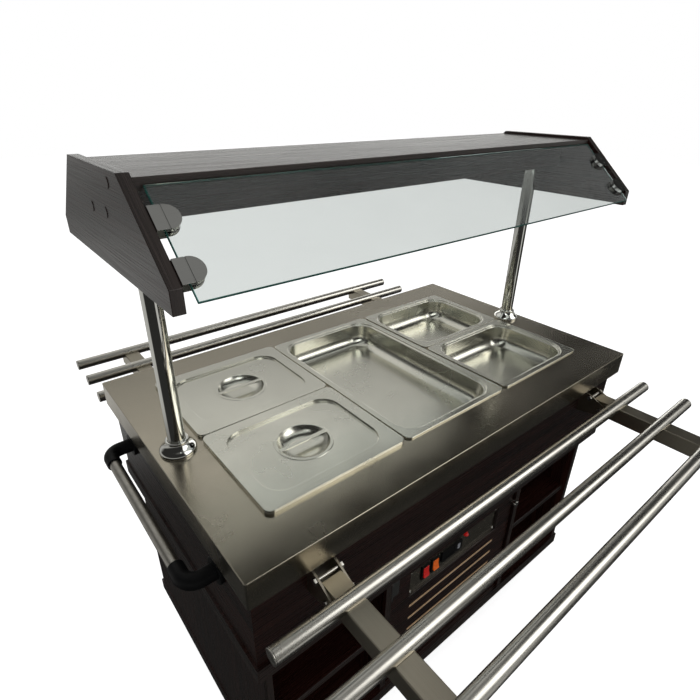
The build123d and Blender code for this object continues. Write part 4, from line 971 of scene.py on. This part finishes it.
@dataclass(frozen=True)
class PressedWare:
    """Food pans and lids as pressed sheet, with rolled shoulders and rounded feet."""

    sheet: float = 0.0008
    smooth: float = 50.0
    rim_corner: float = 0.014
    last_ring: float = 0.002
    pan_edge: Bend = Bend(0.0030, 0.0, 0.0010, 4)
    pan_flat: float = 0.0112
    pan_corner: float = 0.058
    pan_shoulder: tuple[Bend, ...] = (
        Bend(0.0006, -80.0, 0.0022, 5),
        Bend(0.0008, -4.0, 0.0020, 4),
        Bend(0.0016, -85.0, 0.0030, 5),
    )
    foot: float = 0.031
    foot_rings: int = 9
    lid_edge: Bend = Bend(0.0026, 0.0, 0.0008, 4)
    lid_flat: float = 0.0258
    lid_corner: float = 0.0455
    lid_fold: tuple[Bend, ...] = (
        Bend(0.0006, -82.0, 0.0012, 4),
        Bend(0.0036, 0.0, 0.0016, 5),
    )
    dish_ring: float = 0.0625
    lid_dish: tuple[Bend, ...] = (
        Bend(0.0006, 55.0, 0.0008, 3),
        Bend(0.0, 0.0, 0.0014, 4),
        Bend(0.0048, -64.0, 0.0016, 4),
        Bend(0.0, 0.0, 0.0275, 9),
    )
    strap_inset: float = 0.0055
    strap_width: float = 0.0095
    strap_height: float = 0.003
    strap_rise: float = 0.0022
    strap_round: float = 0.0007
    pans: tuple[str, ...] = (
        "pan_full", "pan_half_left_front", "pan_half_left_rear", "pan_half_right_front",
        "pan_half_right_rear",
    )
    lids: tuple[str, ...] = ("lid_front", "lid_rear")

    def build(self) -> None:
        """Make every pan and lid."""
        for node in self.pans:
            self._finish(self._pan(node), node)
        for node in self.lids:
            self._finish(self._lid(node), node)

    def _finish(self, mesh: BMesh, node: str) -> None:
        """Give a shell its thickness and its finish.

        Args:
            mesh: The shell.
            node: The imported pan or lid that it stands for.
        """
        bmesh.ops.remove_doubles(mesh, verts=mesh.verts, dist=SAME_POINT)
        piece = piece_from(mesh, f"{node}_pressed", ("pan_steel",), self.smooth)
        wall = piece.modifiers.new("sheet", "SOLIDIFY")
        wall.thickness = self.sheet
        wall.offset = -1.0
        stand_for(piece, node)

    def _rim(self, node: str, edge: Bend, flat: float, corner: float) -> Press:
        """Start a shell with its turned-down edge and its flat rim.

        Args:
            node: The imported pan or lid.
            edge: The section of the edge.
            flat: The width of the rim.
            corner: The radius of its inner corners.

        Returns:
            The shell.
        """
        low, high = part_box(node)
        shell = Press(low, high, high.z - edge.run - edge.radius, self.rim_corner)
        shell.follow(edge)
        half = shell.half + Vector((edge.radius, edge.radius, 0.0))
        shell.flat_to(half.x - flat, half.y - flat, corner)
        return shell

    def _pan(self, node: str) -> BMesh:
        """Draw one pan.

        Args:
            node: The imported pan.

        Returns:
            The pan's shell.
        """
        pan = self._rim(node, self.pan_edge, self.pan_flat, self.pan_corner)
        pan.follow(*self.pan_shoulder)
        fall = radians(-pan.heading)
        foot_drop = self.foot * (1.0 - cos(fall))
        drop = pan.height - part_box(node)[0].z - self.sheet - foot_drop
        pan.follow(Bend(drop / sin(fall), 0.0, self.foot, self.foot_rings))
        pan.straight(self.last_ring)
        return pan.mesh

    def _lid(self, node: str) -> BMesh:
        """Draw one lid with its dish and its strap.

        Args:
            node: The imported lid.

        Returns:
            The lid's shell.
        """
        lid = self._rim(node, self.lid_edge, self.lid_flat, self.lid_corner)
        lid.follow(*self.lid_fold)
        lid.flat_to(self.dish_ring, self.dish_ring, self.dish_ring)
        strap_top = lid.height + self.strap_rise
        lid.follow(*self.lid_dish)
        lid.straight(self.last_ring)
        strap = bmesh.ops.create_cube(lid.mesh, size=1.0)["verts"]
        length = 2 * (self.dish_ring - self.strap_inset)
        size = Matrix.Diagonal((length, self.strap_width, self.strap_height, 1.0))
        middle = (lid.middle.x, lid.middle.y, strap_top - self.strap_height / 2)
        bmesh.ops.transform(lid.mesh, matrix=Matrix.Translation(middle) @ size, verts=strap)
        edges = list({edge for vert in strap for edge in vert.link_edges})
        round_off(lid.mesh, edges, self.strap_round, segments=2)
        return lid.mesh


@dataclass(frozen=True)
class Rosettes:
    """Spun covers round the feet of the posts, with a section of radii and heights."""

    steps: int = 56
    smooth: float = 50.0
    section: tuple[Spread, ...] = (
        (0.0173, 0.0003), (0.0356, 0.0003), (0.0360, 0.0012), (0.0360, 0.0038), (0.0353, 0.0064),
        (0.0332, 0.0090), (0.0300, 0.0118), (0.0266, 0.0148), (0.0240, 0.0180), (0.0224, 0.0212),
        (0.0219, 0.0224), (0.0223, 0.0232), (0.0223, 0.0256), (0.0217, 0.0266), (0.0204, 0.0272),
        (0.0186, 0.0274), (0.0174, 0.0268),
    )

    def build(self) -> None:
        """Make both covers."""
        low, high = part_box("post_rosettes")
        reach = high.x - (high.y - low.y) / 2
        mesh = bmesh.new()
        for side in SIDES:
            middle = Vector((side * reach, (low.y + high.y) / 2, low.z))
            points = [middle + Vector((radius, 0.0, height)) for radius, height in self.section]
            verts = [mesh.verts.new(point) for point in points]
            pairs = zip((verts[-1], *verts), verts)
            edges = [mesh.edges.new(pair) for pair in pairs]
            bmesh.ops.spin(mesh, geom=[*verts, *edges], cent=middle, axis=(0.0, 0.0, 1.0),
                           angle=2 * pi, steps=self.steps, use_merge=True)
        bmesh.ops.remove_doubles(mesh, verts=mesh.verts, dist=SAME_POINT)
        bmesh.ops.recalc_face_normals(mesh, faces=mesh.faces)
        piece = piece_from(mesh, "post_covers", ("post_steel",), self.smooth)
        stand_for(piece, "post_rosettes")


@dataclass(frozen=True)
class Wheels:
    """Castor wheels with a dark tyre on a grey hub."""

    tyre_from: float = 0.80
    smooth: float = 30.0

    def build(self) -> None:
        """Make the four wheels."""
        for node in [name for name in frame["nodes"] if name.startswith("castor_wheel")]:
            mesh = node_copy(node, join_flats=False)
            low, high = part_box(node)
            middle = (low + high) / 2
            hub = self.tyre_from * (high.z - low.z) / 2
            for face in mesh.faces:
                reach = (face.calc_center_median() - middle).xz.length
                face.material_index = 0 if reach > hub else 1
            finishes = ("wheel_rubber", "wheel_hub")
            stand_for(piece_from(mesh, f"{node}_tyred", finishes, self.smooth), node)


@dataclass(frozen=True)
class Head:
    """A round head: its radius, its height, its corners, and the growth and the rise of each ring,
    the rise in shares of the height."""

    radius: float
    height: float
    corners: int
    rings: tuple[Spread, ...]

    def add(self, mesh: BMesh, place: Vector, out: Vector) -> None:
        """Add one head to a mesh.

        Args:
            mesh: The mesh to add to.
            place: The middle of the head's seat.
            out: The direction that the head faces.
        """
        verts = bmesh.ops.create_circle(mesh, cap_ends=True, segments=self.corners,
                                        radius=self.radius)["verts"]
        face = verts[0].link_faces[0]
        for grow, rise in self.rings:
            face = bmesh.ops.extrude_discrete_faces(mesh, faces=[face])["faces"][0]
            bmesh.ops.scale(mesh, vec=(grow, grow, 1.0), verts=face.verts)
            bmesh.ops.translate(mesh, vec=(0.0, 0.0, rise * self.height), verts=face.verts)
            verts = verts + list(face.verts)
        turn = out.to_track_quat("Z", "Y").to_matrix().to_4x4()
        bmesh.ops.transform(mesh, matrix=Matrix.Translation(place) @ turn, verts=verts)


@dataclass(frozen=True)
class Fittings:
    """Screws on the control plate and cover caps over the canopy's joints."""

    plate_inset: float = 0.007
    screw: Head = Head(0.0033, 0.0022, 20, ((1.0, 0.45), (0.86, 0.33), (0.55, 0.22), (0.5, -0.35)))
    screw_smooth: float = 40.0
    cap: Head = Head(0.0085, 0.0009, 32, ((0.94, 1.0),))
    cap_smooth: float = 30.0
    cap_places: tuple[Spread, ...] = ((-0.0794, 0.522), (-0.0441, 0.477), (0.0277, 0.4744))

    def build(self) -> None:
        """Make the screws and the caps."""
        low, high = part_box("control_plate")
        mesh = bmesh.new()
        for x in (low.x + self.plate_inset, high.x - self.plate_inset):
            for z in (low.z + self.plate_inset, high.z - self.plate_inset):
                self.screw.add(mesh, Vector((x, low.y, z)), Vector((0.0, -1.0, 0.0)))
        screws = piece_from(mesh, "plate_screws", ("post_steel",), self.screw_smooth)
        add_to(screws, NODE_BODY["control_plate"])
        low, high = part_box("canopy_ends")
        mesh = bmesh.new()
        for x, side in zip((low.x, high.x), SIDES):
            for y, z in self.cap_places:
                self.cap.add(mesh, Vector((x, -side * y, COUNTER_TOP + z)), side * ALONG)
        caps = piece_from(mesh, "joint_caps", ("laminate_y",), self.cap_smooth)
        add_to(caps, NODE_BODY["canopy_ends"])


@dataclass(frozen=True)
class Patch:
    """A soft-edged part of the tent; angles in degrees, bearings from +Y towards +X."""

    level: float
    low: float
    high: float
    soft: float
    bearing: float | None = None
    half_width: float = 180.0


@dataclass(frozen=True)
class Studio:
    """Pale floor, even fill, a soft box and the tent that the metal and the gloss reflect."""

    fill: float = 0.60
    floor_half: float = 14.0
    floor_tones: Spread = (0.83, 0.85)
    floor_cells: float = 3.0
    floor_glow: float = 0.62
    key_place: Triple = (-1.6, -2.2, 3.4)
    key_target: Triple = (0.0, 0.0, 0.8)
    key_size: float = 2.4
    key_power: float = 60.0
    tent_radius: float = 12.0
    tent_smooth: float = 60.0
    tent_tone: Triple = (1.0, 1.0, 0.97)
    tent_base: float = 0.03
    tent_peak: float = 4.0
    tent: tuple[Patch, ...] = (
        Patch(0.45, -2.0, 14.0, 6.0),
        Patch(1.80, 2.0, 14.0, 4.0, 40.0, 42.0),
        Patch(0.30, 16.0, 80.0, 8.0, 10.0, 50.0),
        Patch(0.42, 35.0, 60.0, 4.0, 10.0, 48.0),
        Patch(0.26, 62.0, 90.0, 6.0),
        Patch(2.80, 22.0, 56.0, 6.0, 138.0, 21.0),
        Patch(0.50, -30.0, -6.0, 5.0, -30.0, 52.0),
        Patch(0.60, -33.0, -4.0, 3.0, 160.0, 11.0),
    )

    def build(self) -> None:
        """Set up the world, the floor, the lamp and the tent."""
        self._world()
        self._floor()
        self._key_box()
        self._tent()

    def _world(self) -> None:
        """Light the scene evenly, and show white behind the object and in its metal and glass."""
        world = bpy.data.worlds.new("studio")
        bpy.context.scene.world = world
        world.use_nodes = True
        nodes = Nodes(world.node_tree)
        back = world.node_tree.nodes["Background"]
        nodes.feed(back.inputs["Color"], WHITE)
        nodes.feed(back.inputs["Strength"], nodes.spread(nodes.seen(), self.fill, 1.0))

    def _floor(self) -> None:
        """Lay a pale floor that is white to the eye and keeps a soft shadow."""
        mesh = bmesh.new()
        bmesh.ops.create_grid(mesh, x_segments=1, y_segments=1, size=self.floor_half)
        floor = piece_from(mesh, "studio_floor")
        shader = Shader("floor_paper", Roughness=0.9, Specular_IOR_Level=0.0,
                        Emission_Strength=1.0)
        dust = shader.streaks((self.floor_cells,) * 3, detail=3.0)
        dark, light = self.floor_tones
        glow = shader.mix(shader.seen(), BLACK, shade(WHITE, self.floor_glow))
        shader.set(Base_Color=shader.mix(dust, shade(WHITE, dark), shade(WHITE, light)),
                   Emission_Color=glow)
        floor.data.materials.append(shader.material)
        floor.visible_glossy = False

    def _key_box(self) -> None:
        """Hang the soft box."""
        data = bpy.data.lights.new("key_box", "AREA")
        data.size = self.key_size
        data.energy = self.key_power
        lamp = bpy.data.objects.new("key_box", data)
        lamp.location = self.key_place
        aim = Vector(self.key_target) - Vector(self.key_place)
        lamp.rotation_euler = aim.to_track_quat("-Z", "Y").to_euler()
        lamp.visible_glossy = False
        bpy.context.scene.collection.objects.link(lamp)

    def _tent(self) -> None:
        """Hang a tent of darker and lighter cloth that only shows in reflections."""
        mesh = bmesh.new()
        bmesh.ops.create_icosphere(mesh, subdivisions=3, radius=self.tent_radius)
        tent = piece_from(mesh, "reflection_tent", smooth=self.tent_smooth)
        shader = Shader("tent_cloth", Base_Color=BLACK, Roughness=1.0, Specular_IOR_Level=0.0,
                        Emission_Strength=self.tent_peak)
        toward = shader.sum(Sum.VECTORS, "NORMALIZE", shader.place)
        level: Socket | float = self.tent_base / self.tent_peak
        for patch in self.tent:
            level = shader.sum(Sum.NUMBERS, "ADD", self._patch(shader, toward, patch), level)
        shader.set(Emission_Color=shader.mix(level, BLACK, self.tent_tone))
        shader.material.cycles.emission_sampling = "NONE"
        tent.data.materials.append(shader.material)
        for ray in ("camera", "diffuse", "shadow", "transmission", "volume_scatter"):
            setattr(tent, f"visible_{ray}", False)

    def _patch(self, nodes: Nodes, toward: Socket, patch: Patch) -> Socket:
        """Find how brightly one patch shows in a direction.

        Args:
            nodes: The tent's nodes.
            toward: The direction.
            patch: The patch.

        Returns:
            The level's socket.
        """
        parts = nodes.tree.nodes.new("ShaderNodeSeparateXYZ")
        nodes.feed(parts.inputs[0], toward)
        rise = parts.outputs["Z"]
        low, high, soft = radians(patch.low), radians(patch.high), radians(patch.soft)
        above = nodes.spread(rise, 0.0, patch.level / self.tent_peak, sin(low - soft),
                             sin(low + soft), soft=True)
        below = nodes.spread(rise, 0.0, 1.0, sin(min(high + soft, pi / 2)), sin(high - soft),
                             soft=True)
        shown = nodes.sum(Sum.NUMBERS, "MULTIPLY", above, below)
        if patch.bearing is None:
            return shown
        flat = nodes.sum(Sum.VECTORS, "MULTIPLY", toward, (1.0, 1.0, 0.0))
        level = nodes.sum(Sum.VECTORS, "NORMALIZE", flat)
        bearing, half = radians(patch.bearing), radians(patch.half_width)
        facing = nodes.sum(Sum.PRODUCT, "DOT_PRODUCT", level, (sin(bearing), cos(bearing), 0.0))
        inside = nodes.spread(facing, 0.0, 1.0, cos(half + soft), cos(half - soft), soft=True)
        return nodes.sum(Sum.NUMBERS, "MULTIPLY", shown, inside)


def main() -> None:
    """Build the scene in order."""
    logging.basicConfig(level=logging.INFO, format="%(name)s: %(message)s")
    bpy.context.scene.view_settings.view_transform = "Standard"
    dress_nodes()
    PhotoCamera().build()
    BoardWork().build()
    GuardGlass().build()
    Clamps().build()
    SlideArms().build()
    TurnedWork().build()
    PressedWare().build()
    Rosettes().build()
    Wheels().build()
    Fittings().build()
    Studio().build()


if __name__ == "__main__":
    main()
